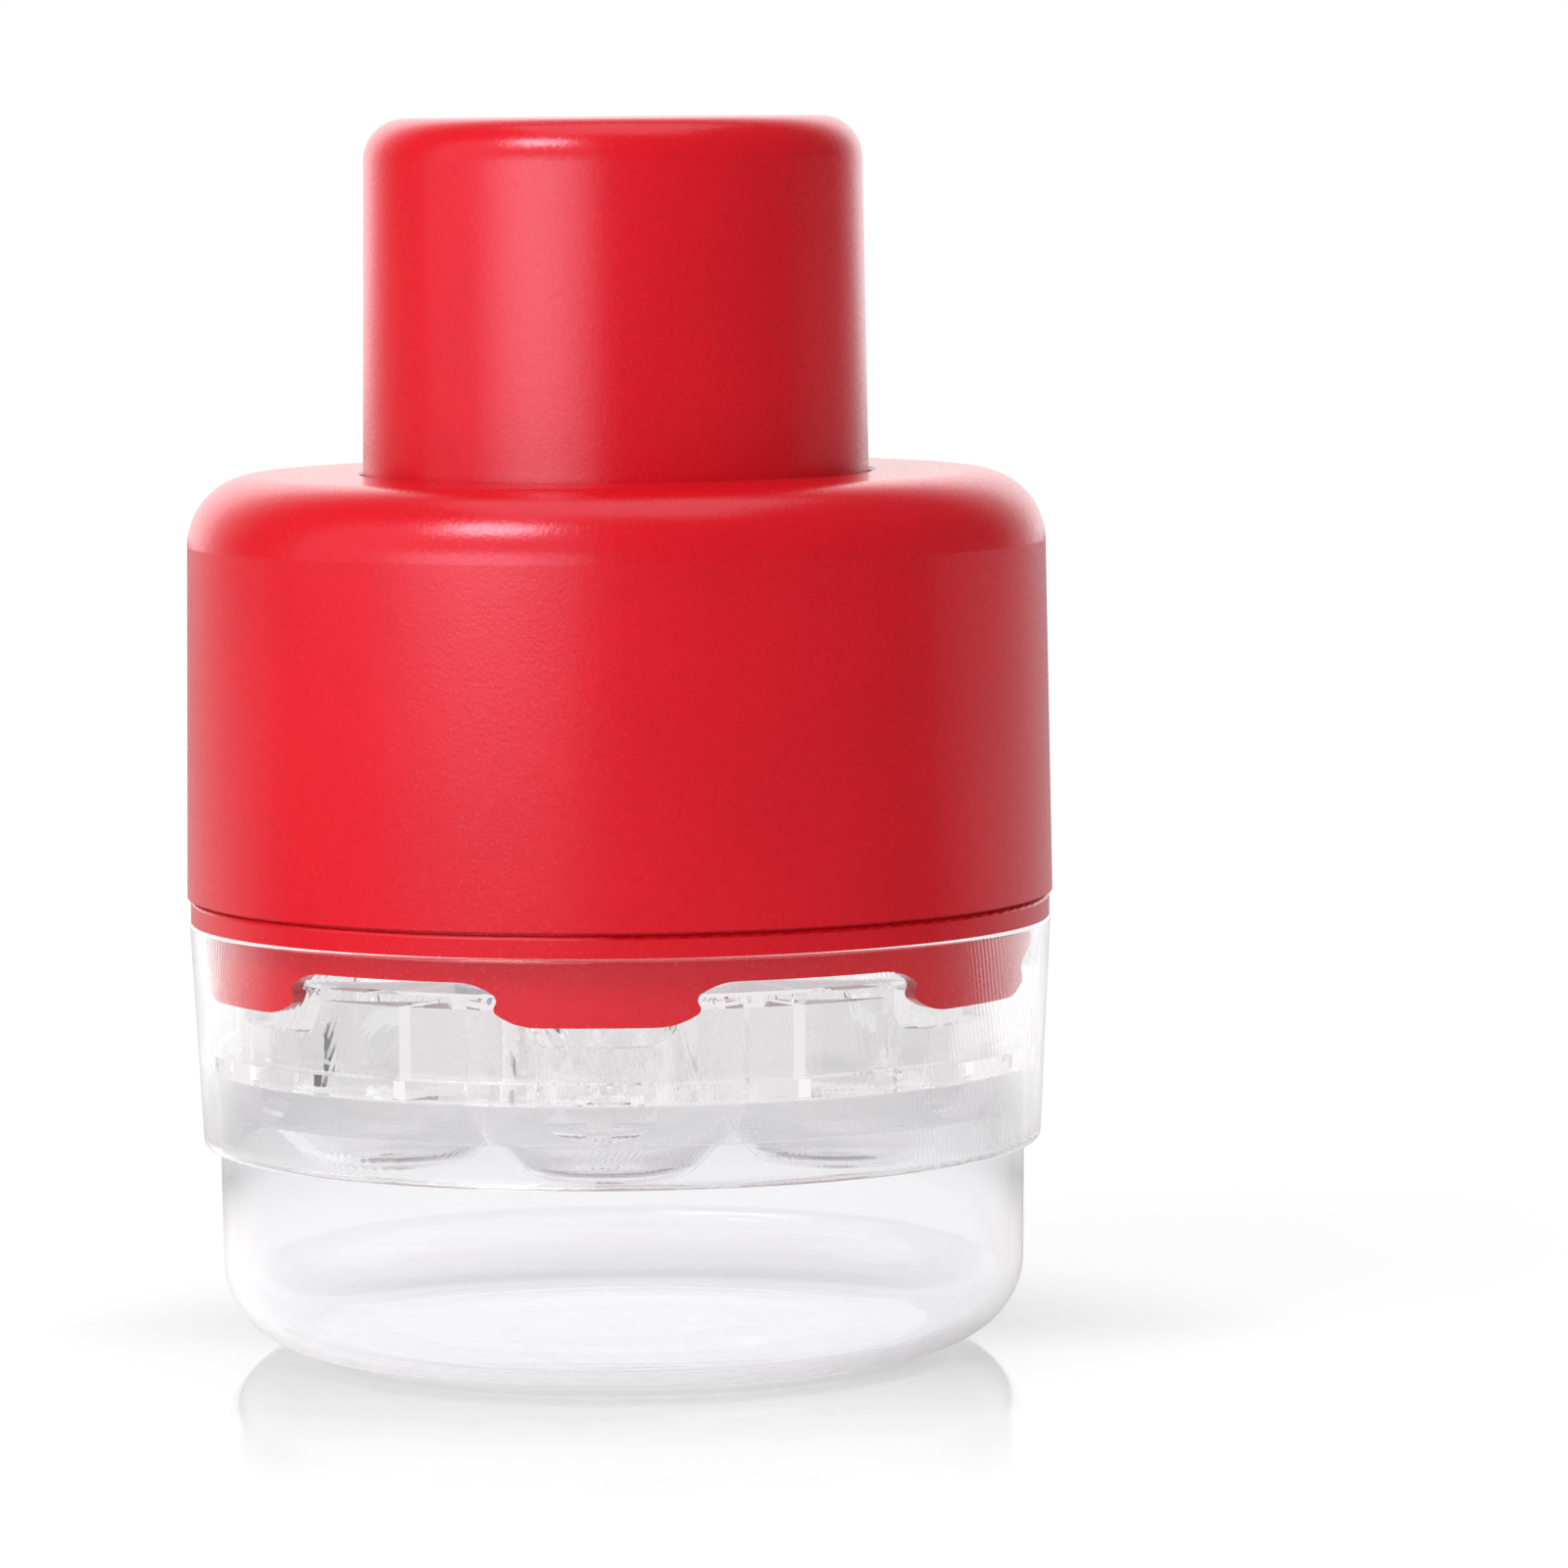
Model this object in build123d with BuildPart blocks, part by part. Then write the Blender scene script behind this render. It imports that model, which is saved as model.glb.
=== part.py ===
from build123d import *
from math import cos, pi, radians, sin, sqrt
import os

os.makedirs("parts", exist_ok=True)

# Everything is in millimetres. The origin is the centre of the cup's base, on the table, +Z is up,
# and the front is towards -Y.

# Pockets: one in the middle and a ring of six around it, which the rest of the object is sized by
outer_pocket_count = 6
front_angle = -90.0
pocket_r = 15.2             # mouth radius, takes a large cherry
pocket_gap = 1.6            # wall shared by two pockets
pocket_taper = 0.2          # how much narrower a pocket is where its bowl starts
bowl_wall = 1.8
bowl_drop = 11.3            # how far a bowl hangs below the floor
bowl_slope = 7.1            # width and height of the slope between a bowl's side and its flat underside
bowl_corner_r = 6.0         # rounding at both ends of the slope
bowl_margin = 0.5           # between the bowls and the face of the spigot
pit_hole_r = 4.8            # hole that the stone is pushed through
notch_half_width = 9.0      # lowered front of a pocket
notch_corner_r = 2.6
notch_side_wall = 2.6
notch_sill = 4.2            # height of the lowered front above the floor

# Clear cherry tray
floor_thickness = 2.5
deck_rise = 10.6            # top of the fingers above the floor
deck_thickness = 2.0
deck_wall = 1.8             # outer wall of the fingers
deck_inset = 0.5            # face of the fingers inside the face of the spigot
deck_chamfer = 0.4
web_thickness = 1.6
finger_core_r = 33.0        # where the hollow of a finger starts
ring_play = 0.35            # between the cup and the foot of the ring wall
ring_wall = 1.6
ring_draft = 1.5            # how much wider the ring wall is at its rim
ring_overlap = 10.5         # how far the ring wall hangs down over the cup
ring_rise = 15.6            # rim above the floor
ring_foot_fillet = 1.1
rim_fillet = 0.6
spigot_play = 0.3           # between the spigot and the inside of the cup
spigot_wall = 1.6
spigot_depth = 5.3
spigot_slot_count = 4
spigot_slot_width = 3.0

# Clear pit cup
cup_height = 36.3
cup_wall = 1.5
cup_draft = 0.3
cup_corner_width = 12.0
cup_corner_height = 11.0
cup_rim_fillet = 0.4

# Red guide plate
flange_thickness = 2.8
flange_inset = 0.4          # inside the housing's wall
flange_fillet = 0.5
seam_gap = 0.4              # groove between flange and housing
lip_height = 3.0
lip_wall = 1.8
lip_play = 0.15
skirt_play = 0.35           # between the lobes and the ring wall
skirt_wall = 2.4
skirt_rise = 3.2            # depth of the skirt between two lobes
lobe_depth = 5.4            # how much further the lobes come down
lobe_half_width = 13.0
lobe_sweep_r = 8.0          # long curve from the skirt's edge into the side of a lobe
lobe_sweep_angle = 34.0     # how far it turns down before the tight root
lobe_root_r = 1.0
lobe_corner_r = 0.8
lobe_lean = 35.0            # how far the corner of a lobe leans out over its root
guide_wall = 1.6

# Red housing
housing_overhang = 0.25     # beyond the rim of the tray
housing_height = 53.4
housing_wall = 2.4
housing_draft = 0.7
shoulder_r = 9.0
opening_lip_r = 0.5
screw_boss_r = 3.4
screw_boss_inset = 2.4      # between a boss and the inside of the wall
screw_boss_height = 17.0
boss_rib_thickness = 1.8

# Red plunger cap
plunger_r = 32.1
plunger_draft = 0.6
plunger_wall = 2.4
plunger_rise = 44.8         # above the top of the housing
plunger_edge_r = 5.3
plunger_play = 0.4          # between the cap and the edge of the opening
cap_boss_r = 3.4
cap_boss_merge = 0.5

# Carrier and prongs
stroke = 36.0
stop_gap = 0.3              # between the carrier and the housing's ceiling
landing_gap = 1.5           # between the carrier and the guide tubes when fully pressed
carrier_thickness = 4.0
carrier_margin = 6.0
carrier_collar_height = 2.0
carrier_collar_wall = 2.0
carrier_collar_play = 0.3
prong_r = 2.6
prong_play = 0.3
prong_spigot_r = 1.8
prong_spigot_length = 3.5
prong_tip_recess = 0.6      # tips above the underside of the guide plate
prong_flute_r = 1.3
prong_flute_length = 12.0
prong_crown_depth = 1.2

# Posts, bushes and springs
post_count = 3              # and as many screws of each kind
post_r = 2.5
post_seat_play = 0.05
post_boss_wall = 1.2
post_boss_height = 5.0
post_standout = 2.0         # above the carrier
post_fillet = 0.8
bush_play = 0.2
bush_wall = 1.3
bush_flange_width = 1.3
bush_flange_thickness = 1.2
wire_r = 0.6
spring_play = 0.3
spring_end_gap = 0.1
spring_turns = 7

# Screws
screw_r = 1.5
screw_play = 0.05
screw_clearance = 0.3
screw_head_r = 2.8
screw_head_height = 1.8
screw_recess_length = 3.4
screw_recess_width = 0.7
screw_recess_depth = 1.0
screw_bite = 8.0            # thread length in the piece it holds
cut_margin = 1.0            # how far a cut runs past the faces that it opens

# Radii that follow from the pockets, from the middle outwards
pocket_circle_r = 2 * pocket_r + pocket_gap
spigot_r = pocket_circle_r + pocket_r + bowl_wall + bowl_margin
deck_r = spigot_r - deck_inset
cup_r = spigot_r + spigot_play + cup_wall
ring_foot_r = cup_r + ring_play + ring_wall
ring_rim_r = ring_foot_r + ring_draft
housing_r = ring_rim_r + housing_overhang
housing_inner_r = housing_r - housing_wall
flange_r = housing_r - flange_inset
plunger_inner_r = plunger_r - plunger_wall
opening_r = plunger_r + plunger_play
carrier_r = max(plunger_r, pocket_circle_r) + carrier_margin
post_circle_r = pocket_circle_r / sqrt(3)
post_boss_r = post_r + post_seat_play + post_boss_wall
coil_r = post_boss_r + spring_play + wire_r
screw_boss_circle_r = housing_inner_r - screw_boss_inset - screw_boss_r
cap_boss_circle_r = plunger_inner_r - cap_boss_r + cap_boss_merge

# Heights, from the table upwards
floor_z = cup_height
floor_top_z = floor_z + floor_thickness
deck_top_z = floor_top_z + deck_rise
sill_z = floor_top_z + notch_sill
ring_foot_z = floor_z - ring_overlap
rim_z = floor_top_z + ring_rise
bowl_bottom_z = floor_z - bowl_drop
skirt_z = rim_z - skirt_rise
lobe_z = skirt_z - lobe_depth
plate_top_z = rim_z + flange_thickness
housing_z = plate_top_z + seam_gap
housing_top_z = housing_z + housing_height
ceiling_z = housing_top_z - housing_wall
carrier_top_z = ceiling_z - stop_gap
carrier_z = carrier_top_z - carrier_thickness
guide_top_z = carrier_z - stroke - landing_gap
cap_top_z = housing_top_z + plunger_rise
tip_z = rim_z + prong_tip_recess
spring_top_z = carrier_z - bush_flange_thickness - spring_end_gap

# Angles of what repeats
pocket_step = 360 / outer_pocket_count
finger_angle = front_angle + pocket_step / 2
cap_boss_angle = finger_angle + pocket_step


def ring_r_at(z):
    """Outer radius of the tray's ring wall at a height."""
    return ring_foot_r + ring_draft * (z - ring_foot_z) / (rim_z - ring_foot_z)


def on_circle(radius, angle):
    """Point on a circle around the axis."""
    return (radius * cos(radians(angle)), radius * sin(radians(angle)))


def standing_plane(angle):
    """Upright plane through the axis that faces outwards at an angle."""
    along = on_circle(1, angle + 90)
    out = on_circle(1, angle)
    return Plane(origin=(0, 0, 0), x_dir=(along[0], along[1], 0), z_dir=(out[0], out[1], 0))


def bowl_solid(mouth_r, start_r, slope, corner_r, bottom_z, top_z):
    """Round pocket with a sloped and rounded bottom, about the Z axis."""
    with BuildPart() as bowl:
        with BuildSketch(Plane.XZ) as bowl_section:
            with BuildLine():
                Polyline(
                    (0, bottom_z),
                    (start_r - slope, bottom_z),
                    (start_r, bottom_z + slope),
                    (mouth_r, top_z),
                    (0, top_z),
                    close=True,
                )
            make_face()
            fillet(bowl_section.vertices().sort_by(Axis.X)[2:4], corner_r)
        revolve(axis=Axis.Z)
    return bowl.part


def screws(circle_r, start_angle, seat_z, length):
    """Three screws that point up, with their heads under seat_z."""
    with BuildPart() as group:
        with BuildSketch(Plane.XY.offset(seat_z - screw_head_height)):
            with PolarLocations(circle_r, post_count, start_angle):
                Circle(screw_head_r)
        extrude(amount=screw_head_height)
        fillet(group.edges().group_by(Axis.Z)[0], screw_head_height / 2)
        with BuildSketch(Plane.XY.offset(seat_z)):
            with PolarLocations(circle_r, post_count, start_angle):
                Circle(screw_r)
        extrude(amount=length)
        chamfer(group.edges().group_by(Axis.Z)[-1], screw_r / 2)
        with BuildSketch(Plane.XY.offset(seat_z - screw_head_height)):
            with PolarLocations(circle_r, post_count, start_angle):
                Rectangle(screw_recess_length, screw_recess_width)
                Rectangle(screw_recess_width, screw_recess_length)
        extrude(amount=screw_recess_depth, mode=Mode.SUBTRACT)
    return group.part


pocket_places = [(0, 0)]
for index in range(outer_pocket_count):
    pocket_places.append(on_circle(pocket_circle_r, front_angle + index * pocket_step))
post_places = []
for index in range(post_count):
    post_places.append(on_circle(post_circle_r, finger_angle + index * 360 / post_count))

# Pit cup: a turned wall of even thickness with an elliptical bottom corner
cup_foot_r = cup_r - cup_draft - cup_corner_width
with BuildPart() as pit_cup:
    with BuildSketch(Plane.XZ):
        with BuildLine():
            Line((0, cup_wall), (0, 0))
            base = Line((0, 0), (cup_foot_r, 0))
            corner = EllipticalCenterArc(
                (cup_foot_r, cup_corner_height),
                cup_corner_width,
                cup_corner_height,
                start_angle=270,
                arc_size=90,
            )
            wall = Line(corner @ 1, (cup_r, cup_height))
            rim = Line(wall @ 1, (cup_r - cup_wall, cup_height))
            inner_corner = EllipticalCenterArc(
                (cup_foot_r, cup_corner_height),
                cup_corner_width - cup_wall,
                cup_corner_height - cup_wall,
                start_angle=270,
                arc_size=90,
            )
            Line(rim @ 1, inner_corner @ 1)
            Line(inner_corner @ 0, (0, cup_wall))
        make_face()
    revolve(axis=Axis.Z)
    fillet(pit_cup.edges().group_by(Axis.Z)[-1], cup_rim_fillet)
pit_cup.part.label = "pit_cup"
export_step(pit_cup.part, "parts/pit_cup.step")

# Cherry tray, built up from shapes that repeat around the axis
bowl_r = pocket_r - pocket_taper
inner_slope = bowl_slope - (2 - sqrt(2)) * bowl_wall
bowl_outer = bowl_solid(
    pocket_r + bowl_wall, bowl_r + bowl_wall, bowl_slope, bowl_corner_r, bowl_bottom_z, floor_top_z
)
bowl_inner = bowl_solid(
    pocket_r,
    bowl_r,
    inner_slope,
    bowl_corner_r - bowl_wall,
    bowl_bottom_z + bowl_wall,
    deck_top_z + cut_margin,
)
with BuildPart() as notch_cut:
    notch_height = 2 * (deck_top_z - sill_z)
    with BuildSketch(standing_plane(front_angle).offset(pocket_circle_r)):
        with Locations((0, sill_z + notch_height / 2)):
            RectangleRounded(2 * notch_half_width, notch_height, notch_corner_r)
    extrude(amount=deck_r - pocket_circle_r + cut_margin)

with BuildPart() as cherry_tray:
    # Ring wall, wider towards its rim, and the floor inside it
    with BuildSketch(Plane.XZ) as ring_section:
        with BuildLine():
            Polyline(
                (ring_foot_r - ring_wall, ring_foot_z),
                (ring_foot_r, ring_foot_z),
                (ring_rim_r, rim_z),
                (ring_rim_r - ring_wall, rim_z),
                close=True,
            )
        make_face()
        fillet(ring_section.vertices().group_by(Axis.Y)[-1], rim_fillet)
        fillet(ring_section.vertices().group_by(Axis.Y)[0].sort_by(Axis.X)[-1], ring_foot_fillet)
    revolve(axis=Axis.Z)
    with BuildSketch(Plane.XY.offset(floor_z)):
        Circle(ring_r_at(floor_z) - ring_wall / 2)
    extrude(amount=floor_thickness)
    # Spigot with its slots
    with BuildSketch(Plane.XY.offset(floor_z - spigot_depth)):
        Circle(spigot_r)
        Circle(spigot_r - spigot_wall, mode=Mode.SUBTRACT)
        with PolarLocations(spigot_r, spigot_slot_count, front_angle):
            Rectangle(4 * spigot_wall, spigot_slot_width, mode=Mode.SUBTRACT)
    extrude(amount=spigot_depth)
    # Deck and the outsides of the bowls
    with BuildSketch(Plane.XY.offset(floor_z)):
        Circle(deck_r)
    extrude(amount=floor_thickness + deck_rise)
    with Locations(*pocket_places):
        add(bowl_outer)
    # Hollows of the fingers, open from below, each with a web in its middle
    with BuildSketch(Plane.XY.offset(floor_z)):
        Circle(deck_r - deck_wall)
        Circle(finger_core_r, mode=Mode.SUBTRACT)
        with PolarLocations(pocket_circle_r, outer_pocket_count, front_angle):
            Circle(bowl_r + deck_wall, mode=Mode.SUBTRACT)
        with PolarLocations(deck_r / 2, outer_pocket_count, front_angle):
            Rectangle(deck_r, 2 * (notch_half_width + notch_side_wall), mode=Mode.SUBTRACT)
        with PolarLocations(deck_r / 2, outer_pocket_count, finger_angle):
            Rectangle(deck_r, web_thickness, mode=Mode.SUBTRACT)
    extrude(amount=floor_thickness + deck_rise - deck_thickness, mode=Mode.SUBTRACT)
    # Pockets, their lowered fronts and the holes for the stones
    with Locations(*pocket_places):
        add(bowl_inner, mode=Mode.SUBTRACT)
    with PolarLocations(0, outer_pocket_count, 0):
        add(notch_cut.part, mode=Mode.SUBTRACT)
    with BuildSketch(Plane.XY.offset(bowl_bottom_z - cut_margin)):
        with Locations(*pocket_places):
            Circle(pit_hole_r)
    extrude(amount=bowl_wall + 2 * cut_margin, mode=Mode.SUBTRACT)
    chamfer(cherry_tray.edges().filter_by_position(Axis.Z, deck_top_z, deck_top_z), deck_chamfer)
cherry_tray.part.label = "cherry_tray"
export_step(cherry_tray.part, "parts/cherry_tray.step")

# Guide plate: flange, seat for the housing, lobed skirt, guide tubes and post bosses
skirt_r = ring_r_at(lobe_z) - ring_wall - skirt_play
half_step = radians(pocket_step / 2)
scallop_width = 2 * (skirt_r * sin(half_step) - lobe_half_width * cos(half_step))
side_turn = 90 + lobe_lean
root_drop = lobe_sweep_r * (1 - cos(radians(lobe_sweep_angle)))
tight_drop = (lobe_root_r + lobe_corner_r) * (cos(radians(lobe_sweep_angle)) - cos(radians(side_turn)))
tip_r = (lobe_depth - root_drop - tight_drop) / (1 - cos(radians(lobe_sweep_angle)))
root_width = (lobe_sweep_r - lobe_root_r) * sin(radians(lobe_sweep_angle)) + lobe_root_r
with BuildPart() as scallop_cut:
    with BuildSketch(standing_plane(0).offset(skirt_r / 2)):
        with BuildLine():
            top = Line((0, skirt_z), (scallop_width / 2 - root_width, skirt_z))
            into = JernArc(top @ 1, (1, 0), lobe_sweep_r, -lobe_sweep_angle)
            root = JernArc(into @ 1, on_circle(1, -lobe_sweep_angle), lobe_root_r, lobe_sweep_angle - side_turn)
            corner = JernArc(root @ 1, on_circle(1, -side_turn), lobe_corner_r, side_turn - lobe_sweep_angle)
            tip = JernArc(corner @ 1, on_circle(1, -lobe_sweep_angle), tip_r, lobe_sweep_angle)
            Polyline(tip @ 1, tip @ 1 - (0, cut_margin), (0, lobe_z - cut_margin))
            mirror(about=Plane.YZ)
        make_face()
    extrude(amount=skirt_r)
with BuildPart() as guide_plate:
    with BuildSketch(Plane.XY.offset(rim_z)):
        Circle(flange_r)
    extrude(amount=flange_thickness)
    fillet(guide_plate.edges().group_by(Axis.Z)[-1], flange_fillet)
    with BuildSketch(Plane.XY.offset(plate_top_z)):
        Circle((housing_r + housing_inner_r) / 2)
    extrude(amount=seam_gap)
    with BuildSketch(Plane.XY.offset(housing_z)):
        Circle(housing_inner_r - lip_play)
        Circle(housing_inner_r - lip_play - lip_wall, mode=Mode.SUBTRACT)
        with PolarLocations(housing_inner_r, post_count, finger_angle):
            Rectangle(4 * lip_wall, 2 * boss_rib_thickness, mode=Mode.SUBTRACT)
    extrude(amount=lip_height)
    with BuildSketch(Plane.XY.offset(lobe_z)):
        Circle(skirt_r)
        Circle(skirt_r - skirt_wall, mode=Mode.SUBTRACT)
    extrude(amount=rim_z - lobe_z)
    with PolarLocations(0, outer_pocket_count, finger_angle):
        add(scallop_cut.part, mode=Mode.SUBTRACT)
    with BuildSketch(Plane.XY.offset(plate_top_z)):
        with Locations(*pocket_places):
            Circle(prong_r + prong_play + guide_wall)
    extrude(amount=guide_top_z - plate_top_z)
    with BuildSketch(Plane.XY.offset(plate_top_z)):
        with Locations(*post_places):
            Circle(post_boss_r)
    extrude(amount=seam_gap + post_boss_height)
    with BuildSketch(Plane.XY.offset(rim_z - cut_margin)):
        with Locations(*pocket_places):
            Circle(prong_r + prong_play)
    extrude(amount=guide_top_z - rim_z + 2 * cut_margin, mode=Mode.SUBTRACT)
    with BuildSketch(Plane.XY.offset(housing_z)):
        with Locations(*post_places):
            Circle(post_r + post_seat_play)
    extrude(amount=post_boss_height + cut_margin, mode=Mode.SUBTRACT)
    with BuildSketch(Plane.XY.offset(rim_z)):
        with Locations(*post_places):
            Circle(screw_r + screw_clearance)
        with PolarLocations(screw_boss_circle_r, post_count, finger_angle):
            Circle(screw_r + screw_clearance)
    extrude(amount=flange_thickness + seam_gap, mode=Mode.SUBTRACT)
guide_plate.part.label = "guide_plate"
export_step(guide_plate.part, "parts/guide_plate.step")

# Housing: a turned shell with a round shoulder, and three screw bosses held to the wall by ribs
with BuildPart() as housing:
    with BuildSketch(Plane.XZ) as housing_section:
        with BuildLine():
            Polyline(
                (housing_inner_r, housing_z),
                (housing_r, housing_z),
                (housing_r - housing_draft, housing_top_z),
                (opening_r, housing_top_z),
                (opening_r, ceiling_z),
                (housing_inner_r - housing_draft, ceiling_z),
                close=True,
            )
        make_face()
        fillet(housing_section.vertices().group_by(Axis.Y)[-1].sort_by(Axis.X)[-1], shoulder_r)
        fillet(housing_section.vertices().group_by(Axis.Y)[-2].sort_by(Axis.X)[-1], shoulder_r - housing_wall)
        fillet(housing_section.vertices().group_by(Axis.Y)[-1].sort_by(Axis.X)[0], opening_lip_r)
    revolve(axis=Axis.Z)
    with BuildSketch(Plane.XY.offset(housing_z)):
        with PolarLocations(screw_boss_circle_r, post_count, finger_angle):
            Circle(screw_boss_r)
        with PolarLocations((screw_boss_circle_r + housing_inner_r) / 2, post_count, finger_angle):
            Rectangle(housing_r - screw_boss_circle_r - housing_wall / 2, boss_rib_thickness)
    extrude(amount=screw_boss_height)
    with BuildSketch(Plane.XY.offset(housing_z)):
        with PolarLocations(screw_boss_circle_r, post_count, finger_angle):
            Circle(screw_r + screw_play)
    extrude(amount=screw_bite + cut_margin, mode=Mode.SUBTRACT)
housing.part.label = "housing"
export_step(housing.part, "parts/housing.step")

# Plunger cap: a turned cup upside down, with three screw bosses along its wall
with BuildPart() as plunger_cap:
    with BuildSketch(Plane.XZ) as cap_section:
        with BuildLine():
            Polyline(
                (plunger_inner_r, carrier_top_z),
                (plunger_r, carrier_top_z),
                (plunger_r - plunger_draft, cap_top_z),
                (0, cap_top_z),
                (0, cap_top_z - plunger_wall),
                (plunger_inner_r - plunger_draft, cap_top_z - plunger_wall),
                close=True,
            )
        make_face()
        fillet(cap_section.vertices().group_by(Axis.Y)[-1].sort_by(Axis.X)[-1], plunger_edge_r)
        fillet(cap_section.vertices().group_by(Axis.Y)[-2].sort_by(Axis.X)[-1], plunger_edge_r - plunger_wall)
    revolve(axis=Axis.Z)
    with BuildSketch(Plane.XY.offset(carrier_top_z)):
        with PolarLocations(cap_boss_circle_r, post_count, cap_boss_angle):
            Circle(cap_boss_r)
        with BuildLine():
            CenterArc((0, 0), plunger_inner_r + cap_boss_merge, 0, 360)
        make_face(mode=Mode.INTERSECT)
    extrude(amount=(cap_top_z - carrier_top_z) / 2)
    with BuildSketch(Plane.XY.offset(carrier_top_z)):
        with PolarLocations(cap_boss_circle_r, post_count, cap_boss_angle):
            Circle(screw_r + screw_play)
    extrude(amount=screw_bite + cut_margin, mode=Mode.SUBTRACT)
plunger_cap.part.label = "plunger_cap"
export_step(plunger_cap.part, "parts/plunger_cap.step")

# Prong carrier: a plate with a locating collar inside the cap
bush_r = post_r + bush_play + bush_wall
with BuildPart() as prong_carrier:
    with BuildSketch(Plane.XY.offset(carrier_z)):
        Circle(carrier_r)
    extrude(amount=carrier_thickness)
    with BuildSketch(Plane.XY.offset(carrier_top_z)):
        Circle(plunger_inner_r - carrier_collar_play)
        Circle(plunger_inner_r - carrier_collar_play - carrier_collar_wall, mode=Mode.SUBTRACT)
        with PolarLocations(cap_boss_circle_r, post_count, cap_boss_angle):
            Circle(cap_boss_r + carrier_collar_play, mode=Mode.SUBTRACT)
    extrude(amount=carrier_collar_height)
    with BuildSketch(Plane.XY.offset(carrier_z)):
        with Locations(*pocket_places):
            Circle(prong_spigot_r + screw_play)
        with Locations(*post_places):
            Circle(bush_r + post_seat_play)
        with PolarLocations(cap_boss_circle_r, post_count, cap_boss_angle):
            Circle(screw_r + screw_clearance)
    extrude(amount=carrier_thickness, mode=Mode.SUBTRACT)
prong_carrier.part.label = "prong_carrier"
export_step(prong_carrier.part, "parts/prong_carrier.step")

# Prongs: a round rod with a spigot above, and below four flutes and a hollow end that leave four points
for number, place in enumerate(pocket_places, start=1):
    with BuildPart() as prong:
        with BuildSketch(Plane.XY.offset(tip_z)):
            with Locations(place):
                Circle(prong_r)
        extrude(amount=carrier_z - tip_z)
        with BuildSketch(Plane.XY.offset(carrier_z)):
            with Locations(place):
                Circle(prong_spigot_r)
        extrude(amount=prong_spigot_length)
        with BuildSketch(Plane.XY.offset(tip_z)):
            with Locations(place):
                with PolarLocations(prong_r, 4, 45):
                    Circle(prong_flute_r)
        extrude(amount=prong_flute_length, mode=Mode.SUBTRACT)
        with Locations((place[0], place[1], tip_z + prong_crown_depth / 2)):
            Cone(prong_r, prong_r / 10, prong_crown_depth, mode=Mode.SUBTRACT)
    prong.part.label = f"prong_{number}"
    export_step(prong.part, f"parts/prong_{number}.step")

# Guide posts with a tapped foot
for number, place in enumerate(post_places, start=1):
    with BuildPart() as guide_post:
        with BuildSketch(Plane.XY.offset(housing_z)):
            with Locations(place):
                Circle(post_r)
        extrude(amount=carrier_top_z + post_standout - housing_z)
        fillet(guide_post.edges().group_by(Axis.Z)[-1], post_fillet)
        with BuildSketch(Plane.XY.offset(housing_z)):
            with Locations(place):
                Circle(screw_r + screw_play)
        extrude(amount=screw_bite + cut_margin, mode=Mode.SUBTRACT)
    guide_post.part.label = f"guide_post_{number}"
    export_step(guide_post.part, f"parts/guide_post_{number}.step")

# Flanged bushes in the carrier, which slide on the posts
for number, place in enumerate(post_places, start=1):
    with BuildPart() as post_bush:
        with BuildSketch(Plane.XY.offset(carrier_z - bush_flange_thickness)):
            with Locations(place):
                Circle(bush_r + bush_flange_width)
        extrude(amount=bush_flange_thickness)
        with BuildSketch(Plane.XY.offset(carrier_z)):
            with Locations(place):
                Circle(bush_r)
        extrude(amount=carrier_thickness)
        with BuildSketch(Plane.XY.offset(carrier_z - bush_flange_thickness)):
            with Locations(place):
                Circle(post_r + bush_play)
        extrude(amount=bush_flange_thickness + carrier_thickness, mode=Mode.SUBTRACT)
    post_bush.part.label = f"post_bush_{number}"
    export_step(post_bush.part, f"parts/post_bush_{number}.step")

# Return springs: each a wire wound around its post, its centre line made of arcs that run on smoothly
spring_foot = housing_z + wire_r
spring_head = spring_top_z - wire_r
spring_pitch = (spring_head - spring_foot) / spring_turns


def coil_point(turn):
    """Point of the centre line after a number of turns, about the Z axis."""
    return Vector(coil_r * cos(2 * pi * turn), coil_r * sin(2 * pi * turn), spring_foot + spring_pitch * turn)


def coil_direction(turn):
    """Direction of the centre line after a number of turns."""
    rise = spring_pitch / (2 * pi)
    return Vector(-coil_r * sin(2 * pi * turn), coil_r * cos(2 * pi * turn), rise).normalized()


with BuildLine() as coil_path:
    for half in range(2 * spring_turns):
        start, end = coil_point(half / 2), coil_point((half + 1) / 2)
        leaving, arriving = coil_direction(half / 2), coil_direction((half + 1) / 2)
        chord = end - start
        together = leaving + arriving
        spread = 1 - leaving.dot(arriving)
        root = sqrt(chord.dot(together) ** 2 + 2 * spread * chord.dot(chord))
        reach = (root - chord.dot(together)) / (2 * spread)
        before = start + leaving * reach
        after = end - arriving * reach
        meeting = (before + after) * 0.5
        TangentArc(start, meeting, tangent=leaving)
        TangentArc(meeting, end, tangent=after - before)
with BuildPart() as coil:
    with BuildSketch(Plane(origin=coil_path.wire() @ 0, z_dir=coil_path.wire() % 0)):
        Circle(wire_r)
    sweep(path=coil_path.wire())
for number, place in enumerate(post_places, start=1):
    with BuildPart() as return_spring:
        with Locations(place):
            add(coil.part)
    return_spring.part.label = f"return_spring_{number}"
    export_step(return_spring.part, f"parts/return_spring_{number}.step")

# Least gap between one turn of a spring and the next, measured on points of its centre line
samples_per_turn = 36
sample_count = samples_per_turn * spring_turns
samples = [coil_path.wire() @ (step / sample_count) for step in range(sample_count + 1)]
least = min(
    (samples[later] - samples[first]).length
    for first in range(len(samples))
    for later in range(first + samples_per_turn // 2, len(samples))
)
print(f"least gap of a spring to itself: {least - 2 * wire_r:.2f} mm")

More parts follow.
